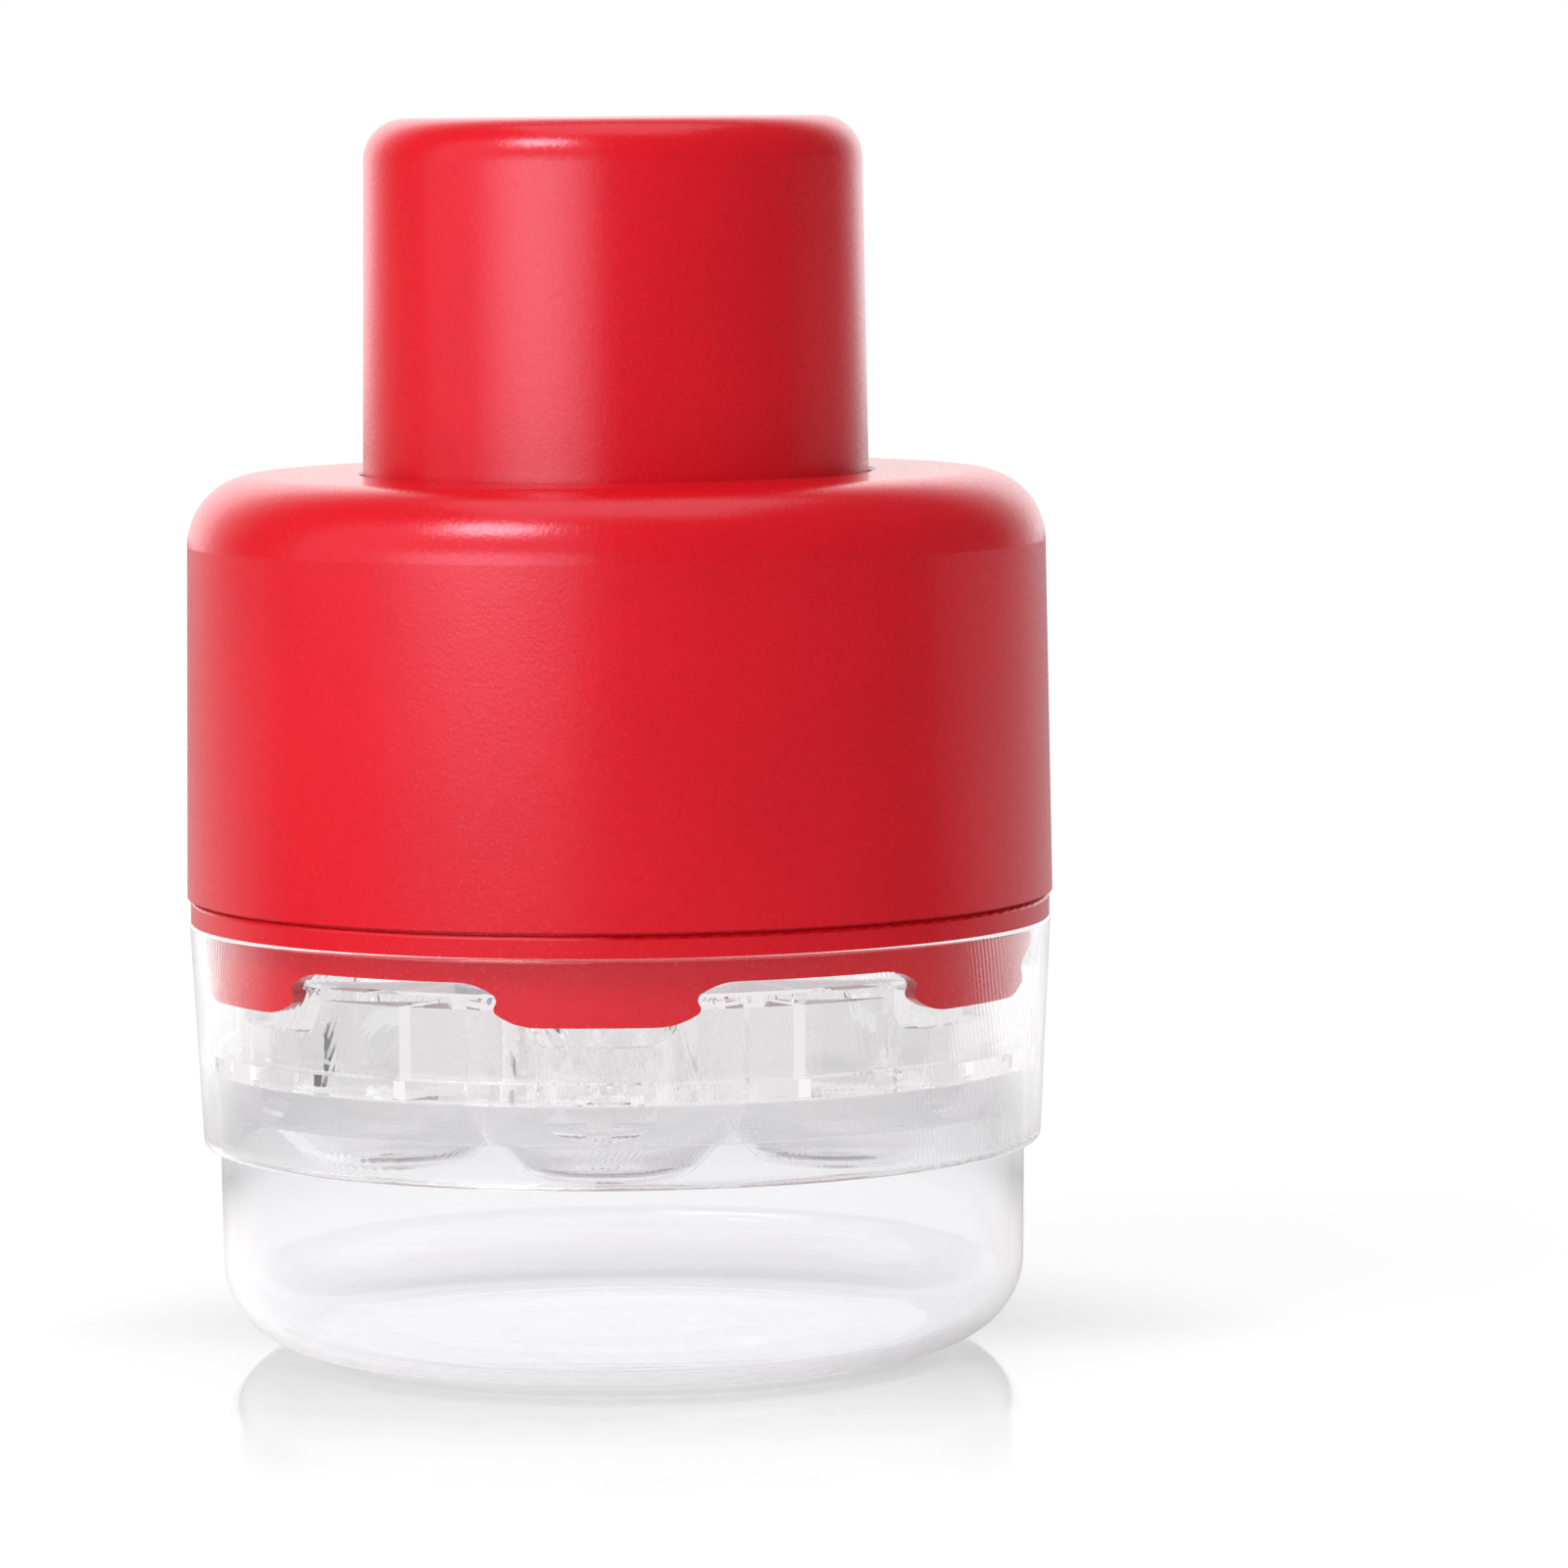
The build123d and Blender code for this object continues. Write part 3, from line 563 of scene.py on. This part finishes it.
def clear_san(name, tint, depth, wave, milled=0.0):
    """Clear SAN, injection moulded in a polished mould: glossy and almost colourless, with slight waves where
    the melt flowed that bend what is seen through the wall. Where the mould was milled and little polished,
    patches of fine arcs from the cutter stand out by this much."""
    material, tree = new_material(name)
    flow = noise(tree, 9 * MM, 1.0)
    bump = add(tree, "ShaderNodeBump", {"Strength": 0.4, "Distance": wave, "Height": flow})
    if milled:
        place = add(tree, "ShaderNodeTexCoord").outputs["Object"]
        centred = add(tree, "ShaderNodeMapping", {"Vector": place, "Location": ARCS_SHIFT})
        # The cutter's steps are about 0.3 mm; they are drawn at 0.75 mm, the finest that shows in the render
        arcs = add(
            tree,
            "ShaderNodeTexWave",
            {
                "Vector": centred.outputs[0],
                "Scale": RING_SCALE / (0.75 * MM),
                "Distortion": 9.0,
                "Detail": 1.0,
                "Detail Scale": 0.12,
            },
            wave_type="RINGS",
            rings_direction="SPHERICAL",
        )
        spread = noise(tree, 13 * MM, 0.0)
        patches = add(tree, "ShaderNodeMapRange", {"Value": spread, "From Min": 0.5, "From Max": 0.62})
        marks = add(tree, "ShaderNodeMath", {0: arcs.outputs["Fac"], 1: patches.outputs[0]}, operation="MULTIPLY")
        bump = add(
            tree,
            "ShaderNodeBump",
            {"Strength": 1.0, "Distance": milled, "Height": marks.outputs[0], "Normal": bump.outputs[0]},
        )
    shader = add(
        tree,
        "ShaderNodeBsdfPrincipled",
        {"Base Color": tint, "Roughness": 0.02, "IOR": 1.55, "Normal": bump.outputs[0], "Transmission Weight": 1.0},
    )
    # A path that has crossed or bounced off many walls would end in black. It ends instead in a painted glow: an
    # emission on the wall that stands in for the room's pale light
    path = add(tree, "ShaderNodeLightPath")
    crossed = add(tree, "ShaderNodeMath", {0: path.outputs["Ray Depth"], 1: WALL_WEIGHT}, operation="MULTIPLY")
    worst = add(tree, "ShaderNodeMath", {0: crossed.outputs[0], 1: path.outputs["Glossy Depth"]}, operation="MAXIMUM")
    lost = add(tree, "ShaderNodeMath", {0: worst.outputs[0], 1: MOST_BOUNCES}, operation="GREATER_THAN")
    pale = add(tree, "ShaderNodeEmission", {"Color": depth, "Strength": 1.0})
    inner = add(tree, "ShaderNodeMixShader", {0: lost.outputs[0], 1: shader.outputs[0], 2: pale.outputs[0]})
    # Lamps shine through the clear wall, so it casts no more than a faint shadow
    passing = add(tree, "ShaderNodeBsdfTransparent", {"Color": tint})
    mixed = add(
        tree, "ShaderNodeMixShader", {0: path.outputs["Is Shadow Ray"], 1: inner.outputs[0], 2: passing.outputs[0]}
    )
    add(tree, "ShaderNodeOutputMaterial", {"Surface": mixed.outputs[0]})
    return material


def natural_acetal(finish):
    """Natural white acetal, moulded and unpainted: slightly waxy, with a soft gloss and a little light in depth."""
    material, tree = new_material("Natural white acetal")
    cloud = noise(tree, 3 * MM)
    bump = add(tree, "ShaderNodeBump", {"Strength": 0.2, "Distance": 0.02 * MM, "Height": cloud})
    rough = add(tree, "ShaderNodeMapRange", {"Value": cloud, **NOISE_SPAN, "To Min": 0.32, "To Max": 0.4})
    shader = add(
        tree,
        "ShaderNodeBsdfPrincipled",
        {
            "Base Color": finish.white,
            "Roughness": rough.outputs[0],
            "IOR": 1.48,
            "Normal": bump.outputs[0],
            "Subsurface Weight": 0.1,
            "Subsurface Scale": 2 * MM,
        },
    )
    add(tree, "ShaderNodeOutputMaterial", {"Surface": shader.outputs[0]})
    return material


def drawn_steel(name, tone, across, along, roughness):
    """Steel drawn through a die: bright, with fine lines along the rod that streak its reflections. The lines
    are about this many metres across and along."""
    material, tree = new_material(name)
    lines = noise(tree, across, 2.0, (1.0, 1.0, across / along))
    bump = add(tree, "ShaderNodeBump", {"Strength": 0.3, "Distance": 0.01 * MM, "Height": lines})
    reach = {"To Min": roughness - 0.05, "To Max": roughness + 0.07}
    rough = add(tree, "ShaderNodeMapRange", {"Value": lines, **NOISE_SPAN, **reach})
    shader = add(
        tree,
        "ShaderNodeBsdfPrincipled",
        {"Base Color": tone, "Metallic": 1.0, "Roughness": rough.outputs[0], "Normal": bump.outputs[0]},
    )
    add(tree, "ShaderNodeOutputMaterial", {"Surface": shader.outputs[0]})
    return material


def zinc_plate(finish):
    """Bright zinc plate on a steel screw: a silvery, slightly mottled metal with a faint blue cast."""
    material, tree = new_material("Bright zinc plate")
    mottle = noise(tree, 0.6 * MM)
    share = add(tree, "ShaderNodeMapRange", {"Value": mottle, **NOISE_SPAN})
    tone = add(tree, "ShaderNodeMix", {0: share.outputs[0], 6: linear(ZINC_SHADE), 7: finish.zinc}, data_type="RGBA")
    rough = add(tree, "ShaderNodeMapRange", {"Value": mottle, **NOISE_SPAN, "To Min": 0.26, "To Max": 0.38})
    shader = add(
        tree,
        "ShaderNodeBsdfPrincipled",
        {"Base Color": tone.outputs[2], "Metallic": 1.0, "Roughness": rough.outputs[0]},
    )
    add(tree, "ShaderNodeOutputMaterial", {"Surface": shader.outputs[0]})
    return material


def floor_gloss(stage):
    """Glossy white acrylic sheet: pure white to the eye, with the object's soft shadow around and behind it and
    a faint mirror image of the cup that dies away in front of it."""
    material, tree = new_material("Glossy white acrylic sheet")
    place = add(tree, "ShaderNodeTexCoord").outputs["Object"]
    followed = {
        "distance": add(tree, "ShaderNodeVectorMath", {0: place}, operation="LENGTH").outputs["Value"],
        "depth": add(tree, "ShaderNodeSeparateXYZ", {"Vector": place}).outputs["Y"],
    }
    fades = {}
    for name, (along, start, end, first, last) in FLOOR_FADES.items():
        last = stage.glow if last is None else last
        limits = {"From Min": start, "From Max": end, "To Min": first, "To Max": last}
        limits["Value"] = followed[along]
        fades[name] = add(tree, "ShaderNodeMapRange", limits, interpolation_type="SMOOTHSTEP").outputs[0]
    # Behind the object the sheet would only mirror the dark side of the room
    fading = add(tree, "ShaderNodeMath", {0: fades["nearby"], 1: fades["before"]}, operation="MULTIPLY")
    # Painted shade: in the object's gloss the sheet's colour darkens away from it towards the front, standing in for
    # the room, which is darker there
    shade = add(tree, "ShaderNodeMath", {0: fades["beside"], 1: fades["behind"]}, operation="MAXIMUM")
    tone = add(
        tree, "ShaderNodeMix", {0: bounced(tree, "Glossy"), 6: stage.floor, 7: shade.outputs[0]}, data_type="RGBA"
    )
    diffuse = add(tree, "ShaderNodeBsdfDiffuse", {"Color": tone.outputs[2]})
    glow = add(tree, "ShaderNodeEmission", {"Color": stage.floor, "Strength": fades["glow"]})
    lit = add(tree, "ShaderNodeMixShader", {0: fades["share"], 1: diffuse.outputs[0], 2: glow.outputs[0]})
    mirror = add(tree, "ShaderNodeBsdfGlossy", {"Color": MIRROR_GREY, "Roughness": MIRROR_ROUGHNESS})
    seen = add(tree, "ShaderNodeMixShader", {0: fading.outputs[0], 1: lit.outputs[0], 2: mirror.outputs[0]})
    either = add(
        tree, "ShaderNodeMath", {0: bounced(tree, "Glossy"), 1: bounced(tree, "Diffuse")}, operation="MAXIMUM"
    )
    surface = add(tree, "ShaderNodeMixShader", {0: either.outputs[0], 1: seen.outputs[0], 2: diffuse.outputs[0]})
    add(tree, "ShaderNodeOutputMaterial", {"Surface": surface.outputs[0]})
    return material


# Operators, one for each piece or group of like pieces


def dress(names, material):
    """Gives CAD nodes that keep their own mesh a better material."""
    for name in names:
        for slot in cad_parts[name].material_slots:
            slot.material = material


def settings():
    """The sizes and colours in use."""
    return bpy.context.scene.cherry_pitter


class PITTER_OT_red_shells(bpy.types.Operator):
    """Gives the plunger cap, the housing and the guide plate their satin red"""

    bl_idname = "cherry_pitter.red_shells"
    bl_label = "Red shells"

    def execute(self, context):
        dress(("plunger_cap", "housing", "guide_plate"), red_abs(settings().finish))
        return {"FINISHED"}


class PITTER_OT_cherry_tray(bpy.types.Operator):
    """Gives the tray its clear plastic"""

    bl_idname = "cherry_pitter.cherry_tray"
    bl_label = "Cherry tray"

    def execute(self, context):
        finish = settings().finish
        clear = clear_san("Clear moulded SAN, tray", finish.clear_tray, finish.tray_depth, 0.03 * MM, 0.008 * MM)
        dress(("cherry_tray",), clear)
        return {"FINISHED"}


class PITTER_OT_pit_cup(bpy.types.Operator):
    """Turns the clear cup that catches the stones"""

    bl_idname = "cherry_pitter.pit_cup"
    bl_label = "Pit cup"

    def execute(self, context):
        size = settings().cup
        low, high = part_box("pit_cup")
        rim = high.x
        foot = rim - size.draft - size.corner_width
        inner_width = size.corner_width - size.wall
        inner_height = size.corner_height - size.wall
        quarter = [pi / 2 * step / CORNER_STEPS for step in range(CORNER_STEPS + 1)]
        inside = [
            (foot + inner_width * sin(angle), size.corner_height - inner_height * cos(angle)) for angle in quarter
        ]
        outside = [
            (foot + size.corner_width * sin(angle), size.corner_height - size.corner_height * cos(angle))
            for angle in reversed(quarter)
        ]
        rim_corners = rounded_outline(
            [
                (*inside[-1], 0),
                (rim - size.wall, high.z, size.rim_rounding),
                (rim, high.z, size.rim_rounding),
                (*outside[0], 0),
            ]
        )
        outline = [(0, size.wall), (foot * FLAT_SHARE, size.wall), *inside[:-1], *rim_corners, *outside[1:]]
        outline += [(foot * FLAT_SHARE, 0), (0, 0)]
        finish = settings().finish
        clear = clear_san("Clear moulded SAN, cup", finish.clear_cup, finish.cup_depth, 0.02 * MM)
        mesh = turned("pit_cup_turned", outline, clear, CUP_STEPS)
        piece("pit_cup_shell", mesh, "cup", ["pit_cup"])
        return {"FINISHED"}


class PITTER_OT_prong_carrier(bpy.types.Operator):
    """Gives the carrier its natural acetal"""

    bl_idname = "cherry_pitter.prong_carrier"
    bl_label = "Prong carrier"

    def execute(self, context):
        dress(("prong_carrier",), natural_acetal(settings().finish))
        return {"FINISHED"}


class PITTER_OT_prongs(bpy.types.Operator):
    """Makes the fluted steel prongs"""

    bl_idname = "cherry_pitter.prongs"
    bl_label = "Prongs"

    def execute(self, context):
        size = settings().prong
        names = [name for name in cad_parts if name.startswith("prong_") and name != "prong_carrier"]
        low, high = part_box("prong_1")
        rod = width("prong_1") / 2

        def edge(angle):
            """Radius of the fluted part at an angle. Its flutes stand halfway between the axes."""
            from_flute = (angle - pi / 4) % (pi / 2) - pi / 4
            if abs(from_flute) >= asin(size.flute_radius / rod) - FLUTE_EDGE:
                return rod
            across = rod * sin(from_flute)
            return rod * cos(from_flute) - (size.flute_radius ** 2 - across ** 2) ** 0.5

        def hollow(radius):
            """Height of the hollow end at a radius."""
            return low.z + size.crown_depth * min(1.0, (rod - radius) / (rod * CROWN_SHARE))

        shoulder = high.z - size.spigot_length
        levels = [
            (low.z + size.crown_depth, rod * (1 - CROWN_SHARE)),
            (lambda angle: hollow(edge(angle)), edge),
            (low.z + size.crown_depth + ROD_CHAMFER, edge),
            (low.z + size.flute_length, edge),
            (low.z + size.flute_length, rod),
            (shoulder - ROD_CHAMFER, rod),
            (shoulder, rod - ROD_CHAMFER),
            (shoulder, size.spigot_radius),
            (high.z - ROD_CHAMFER, size.spigot_radius),
            (high.z, size.spigot_radius - ROD_CHAMFER),
        ]
        rings = [ring_at(TURNED_STEPS, height, radius) for height, radius in levels]
        steel = drawn_steel("Drawn stainless steel rod", settings().finish.steel, 0.25 * MM, 12 * MM, 0.24)
        one = skinned("prong", rings, steel)
        radius, angle = circle_of("prong_2")
        mesh = grown(
            "prong_ring",
            one,
            ring_tree(),
            {
                "Count": len(names) - 1,
                "Circle Radius": radius,
                "First Angle": angle,
                "Middle Copy": True,
                "Material": steel,
            },
        )
        piece("prongs", mesh, "plunger", names)
        return {"FINISHED"}


def around_posts(name, mesh, material):
    """Copies of a piece at the places of the posts."""
    radius, angle = circle_of("guide_post_1")
    values = {
        "Count": POST_COUNT,
        "Circle Radius": radius,
        "First Angle": angle,
        "Middle Copy": False,
        "Material": material,
    }
    return grown(name, mesh, ring_tree(), values)


def numbered(stem):
    """Names of the nodes that share a stem."""
    return [f"{stem}_{number}" for number in range(1, POST_COUNT + 1)]


class PITTER_OT_guide_posts(bpy.types.Operator):
    """Turns the three steel posts"""

    bl_idname = "cherry_pitter.guide_posts"
    bl_label = "Guide posts"

    def execute(self, context):
        size = settings().post
        low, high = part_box("guide_post_1")
        rod = width("guide_post_1") / 2
        outline = rounded_outline(
            [
                (0, high.z, 0),
                (rod, high.z, size.end_rounding),
                (rod, low.z, POST_FOOT),
                (size.tapped_radius, low.z, POST_HOLE),
                (size.tapped_radius, low.z + size.tapped_depth, 0),
                (0, low.z + size.tapped_depth, 0),
            ]
        )
        steel = drawn_steel("Drawn stainless steel post", settings().finish.steel, 0.25 * MM, 15 * MM, 0.2)
        mesh = around_posts("guide_post_ring", turned("guide_post_turned", outline, steel), steel)
        piece("guide_posts", mesh, "head", numbered("guide_post"))
        return {"FINISHED"}


class PITTER_OT_post_bushes(bpy.types.Operator):
    """Turns the three flanged bushes"""

    bl_idname = "cherry_pitter.post_bushes"
    bl_label = "Post bushes"

    def execute(self, context):
        size = settings().post
        low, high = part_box("post_bush_1")
        flange = width("post_bush_1") / 2
        seat = low.z + size.bush_flange
        outline = rounded_outline(
            [
                (size.bush_bore, high.z, BUSH_BORE),
                (size.bush_radius, high.z, BUSH_END),
                (size.bush_radius, seat, 0),
                (flange, seat, FLANGE_TOP),
                (flange, low.z, FLANGE_FOOT),
                (size.bush_bore, low.z, BUSH_BORE),
            ],
            BUSH_ROUNDING_STEPS,
        )
        acetal = natural_acetal(settings().finish)
        mesh = around_posts("post_bush_ring", turned("post_bush_turned", outline, acetal), acetal)
        piece("post_bushes", mesh, "plunger", numbered("post_bush"))
        return {"FINISHED"}


class PITTER_OT_return_springs(bpy.types.Operator):
    """Winds the three return springs"""

    bl_idname = "cherry_pitter.return_springs"
    bl_label = "Return springs"

    def execute(self, context):
        size = settings().post
        low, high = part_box("return_spring_1")
        coil = width("return_spring_1") / 2 - size.wire_radius
        rise = high.z - low.z - 2 * size.wire_radius
        wire = drawn_steel("Bright drawn spring wire", settings().finish.wire, 0.2 * MM, 2 * MM, 0.26)
        start = bpy.data.meshes.new("spring_start")
        one = grown(
            "return_spring_wound",
            start,
            spring_tree(),
            {
                "Turns": float(size.turns),
                "Coil Radius": coil,
                "Wire Radius": size.wire_radius,
                "Foot": low.z + size.wire_radius,
                "Rise": rise,
                "Material": wire,
            },
        )
        springs = piece(
            "return_springs",
            around_posts("return_spring_ring", one, wire),
            "head",
            numbered("return_spring"),
        )
        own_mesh(springs)
        return {"FINISHED"}


class PITTER_OT_screws(bpy.types.Operator):
    """Makes the three groups of screws, with their threads and cross recesses"""

    bl_idname = "cherry_pitter.screws"
    bl_label = "Screws"

    def execute(self, context):
        size = settings().screw
        zinc = zinc_plate(settings().finish)
        for name, body in (("housing_screws", "head"), ("post_screws", "head"), ("cap_screws", "plunger")):
            low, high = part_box(name)
            blank = self.blank(name, low.z, high.z, size, zinc)
            one = grown(
                name + "_cut",
                blank,
                recess_tree(),
                {
                    "Length": size.recess_length,
                    "Width": size.recess_width,
                    "Depth": size.recess_depth,
                    "Foot": low.z,
                    "Material": zinc,
                },
            )
            reach = max(high.x, -low.x)
            values = {
                "Count": POST_COUNT,
                "Circle Radius": reach - size.head_radius,
                "First Angle": 0.0 if reach == high.x else pi,
                "Middle Copy": False,
                "Material": zinc,
            }
            piece(name + "_threaded", grown(name + "_ring", one, ring_tree(), values), body, [name])
        return {"FINISHED"}

    def blank(self, name, foot, top, size, zinc):
        """A screw with a rounded head below and its thread above, before its recess is cut."""
        rounding = size.head_height / 2
        seat = foot + size.head_height
        root = size.thread_radius - size.thread_depth
        point = size.thread_radius / 2
        rings = []
        for step in range(ROUNDING_STEPS + 1):
            angle = pi / 2 * step / ROUNDING_STEPS
            radius = size.head_radius - rounding + rounding * sin(angle)
            rings.append(ring_at(SCREW_STEPS, foot + rounding - rounding * cos(angle), radius))
        rings.append(ring_at(SCREW_STEPS, seat, size.head_radius))
        rings.append(ring_at(SCREW_STEPS, seat, root))
        rows = round(THREAD_ROWS * (top - point - seat) / size.thread_pitch)
        for row in range(rows + 1):
            height = seat + (top - point - seat) * row / rows
            fading = min(1.0, row / THREAD_RUNOUT, (rows - row) / THREAD_RUNOUT)

            def ridge(angle, height=height, fading=fading):
                """Radius of the thread at an angle."""
                phase = (height / size.thread_pitch - angle / (2 * pi)) % 1.0
                return root + size.thread_depth * fading * (1 - abs(2 * phase - 1))

            rings.append(ring_at(SCREW_STEPS, height, ridge))
        rings.append(ring_at(SCREW_STEPS, top, root - point * POINT_TAPER))
        return skinned(name + "_blank", rings, zinc)


def light_panel(name, place, target, size, radiance):
    """A soft rectangular lamp that faces a point."""
    data = bpy.data.lights.new(name, "AREA")
    data.shape = "RECTANGLE"
    data.size, data.size_y = size
    data.energy = radiance * pi * size[0] * size[1]
    lamp = bpy.data.objects.new(name, data)
    lamp.location = place
    lamp.rotation_euler = (Vector(target) - Vector(place)).to_track_quat("-Z", "Y").to_euler()
    lamp.visible_camera = False
    bpy.context.scene.collection.objects.link(lamp)


def ramp(tree, value, stops):
    """A grey ramp with these (position, strength) stops."""
    node = add(tree, "ShaderNodeValToRGB", {"Fac": value})
    elements = node.color_ramp.elements
    while len(elements) < len(stops):
        elements.new(0.5)
    for element, (position, strength) in zip(elements, stops):
        element.position = position
        element.color = (strength / RAMP_PEAK, strength / RAMP_PEAK, strength / RAMP_PEAK, 1.0)
    scaled = add(tree, "ShaderNodeVectorMath", {0: node.outputs["Color"], "Scale": RAMP_PEAK}, operation="SCALE")
    return scaled.outputs[0]


def studio_world(stage):
    """A white room: pure white to the camera, and in the object's gloss bright behind it and dark in front."""
    world = bpy.data.worlds.new("White studio")
    bpy.context.scene.world = world
    world.use_nodes = True
    tree = world.node_tree
    tree.nodes.clear()
    direction = add(tree, "ShaderNodeTexCoord").outputs["Generated"]
    # The white wall stands behind the object and a little to its left
    along = add(tree, "ShaderNodeVectorMath", {0: direction, 1: WALL_SIDE}, operation="DOT_PRODUCT")
    backwards = add(tree, "ShaderNodeMath", {0: along.outputs["Value"], 1: 0.5, 2: 0.5}, operation="MULTIPLY_ADD")
    mirrored = ramp(tree, backwards.outputs[0], IN_GLOSS)
    through = ramp(tree, backwards.outputs[0], SEEN_THROUGH)
    inside = bounced(tree, "Transmission")
    # Behind the clear walls the gloss is paler, as they pass the light on from one to the other
    paler = add(tree, "ShaderNodeMath", {0: inside, 1: PALER_GLOSS, 2: 1.0}, operation="MULTIPLY_ADD")
    glossy = add(tree, "ShaderNodeMath", {0: bounced(tree, "Glossy"), 1: paler.outputs[0]}, operation="MULTIPLY")
    to_camera = add(tree, "ShaderNodeLightPath").outputs["Is Camera Ray"]
    fill, veil = ([strength] * 3 + [1.0] for strength in (stage.fill, stage.veil))
    white = (1.0, 1.0, 1.0, 1.0)
    straight = add(tree, "ShaderNodeMix", {0: glossy.outputs[0], 6: through, 7: mirrored}, data_type="RGBA")
    plain = add(tree, "ShaderNodeMix", {0: inside, 6: fill, 7: veil}, data_type="RGBA")
    indirect = add(
        tree,
        "ShaderNodeMix",
        {0: bounced(tree, "Diffuse"), 6: straight.outputs[2], 7: plain.outputs[2]},
        data_type="RGBA",
    )
    seen = add(tree, "ShaderNodeMix", {0: to_camera, 6: indirect.outputs[2], 7: white}, data_type="RGBA")
    background = add(tree, "ShaderNodeBackground", {"Color": seen.outputs[2], "Strength": 1.0})
    add(tree, "ShaderNodeOutputWorld", {"Surface": background.outputs[0]})


class PITTER_OT_stage(bpy.types.Operator):
    """Makes the floor, the lights and the camera"""

    bl_idname = "cherry_pitter.stage"
    bl_label = "Stage"

    def execute(self, context):
        stage = settings().stage
        corners = [(x * FLOOR_HALF, y * FLOOR_HALF, 0) for x, y in ((-1, -1), (1, -1), (1, 1), (-1, 1))]
        sheet = bpy.data.meshes.new("floor_sheet")
        sheet.from_pydata(corners, [], [(0, 1, 2, 3)])
        sheet.materials.append(floor_gloss(stage))
        floor = bpy.data.objects.new("floor", sheet)
        context.scene.collection.objects.link(floor)
        studio_world(stage)
        light_panel("key_wide", *WIDE_KEY, stage.wide_radiance)
        # Panels a little in front of one another, each narrower, make a light that swells towards its middle
        for share, across in CORE_PANELS:
            place = (*(part * share for part in CORE_PLACE), CORE_LEVEL)
            light_panel("key_core", place, (0, 0, CORE_LEVEL), (across, CORE_HEIGHT), stage.core_radiance)
        light_panel("key_high", *HIGH_KEY, stage.high_radiance)
        light_panel("top_panel", *TOP_PANEL, stage.top_radiance)
        self.aim(context)
        context.scene.view_settings.view_transform = "Standard"
        return {"FINISHED"}

    def aim(self, context):
        """Sets the camera at the photograph's place and angle."""
        data = bpy.data.cameras.new("camera")
        data.sensor_width = SENSOR_WIDTH
        data.lens = FOCAL_LENGTH
        camera = bpy.data.objects.new("camera", data)
        turn = Matrix.Rotation(CAMERA_TURN, 4, "Z")
        tilt = Matrix.Rotation(CAMERA_TILT, 4, "X")
        roll = Matrix.Rotation(CAMERA_ROLL, 4, "Z")
        camera.matrix_world = Matrix.Translation(CAMERA_PLACE) @ turn @ tilt @ roll
        context.scene.collection.objects.link(camera)
        context.scene.camera = camera


operators = (
    PITTER_OT_red_shells,
    PITTER_OT_cherry_tray,
    PITTER_OT_pit_cup,
    PITTER_OT_prong_carrier,
    PITTER_OT_prongs,
    PITTER_OT_guide_posts,
    PITTER_OT_post_bushes,
    PITTER_OT_return_springs,
    PITTER_OT_screws,
    PITTER_OT_stage,
)


class PITTER_PT_panel(bpy.types.Panel):
    """Lists the steps that dress the cherry pitter"""

    bl_idname = "PITTER_PT_panel"
    bl_label = "Cherry pitter"
    bl_space_type = "VIEW_3D"
    bl_region_type = "UI"
    bl_category = "Cherry pitter"

    def draw(self, context):
        for step in operators:
            self.layout.operator(step.bl_idname)


groups = (
    PitCupSizes,
    ProngSizes,
    PostSizes,
    ScrewSizes,
    FinishColours,
    StageSettings,
    CherryPitterSettings,
)


def register():
    for item in (*groups, *operators, PITTER_PT_panel):
        bpy.utils.register_class(item)
    bpy.types.Scene.cherry_pitter = PointerProperty(type=CherryPitterSettings)


def unregister():
    del bpy.types.Scene.cherry_pitter
    for item in reversed((*groups, *operators, PITTER_PT_panel)):
        bpy.utils.unregister_class(item)


def main():
    register()
    for step in operators:
        family, name = step.bl_idname.split(".")
        getattr(getattr(bpy.ops, family), name)()


if __name__ == "__main__":
    main()
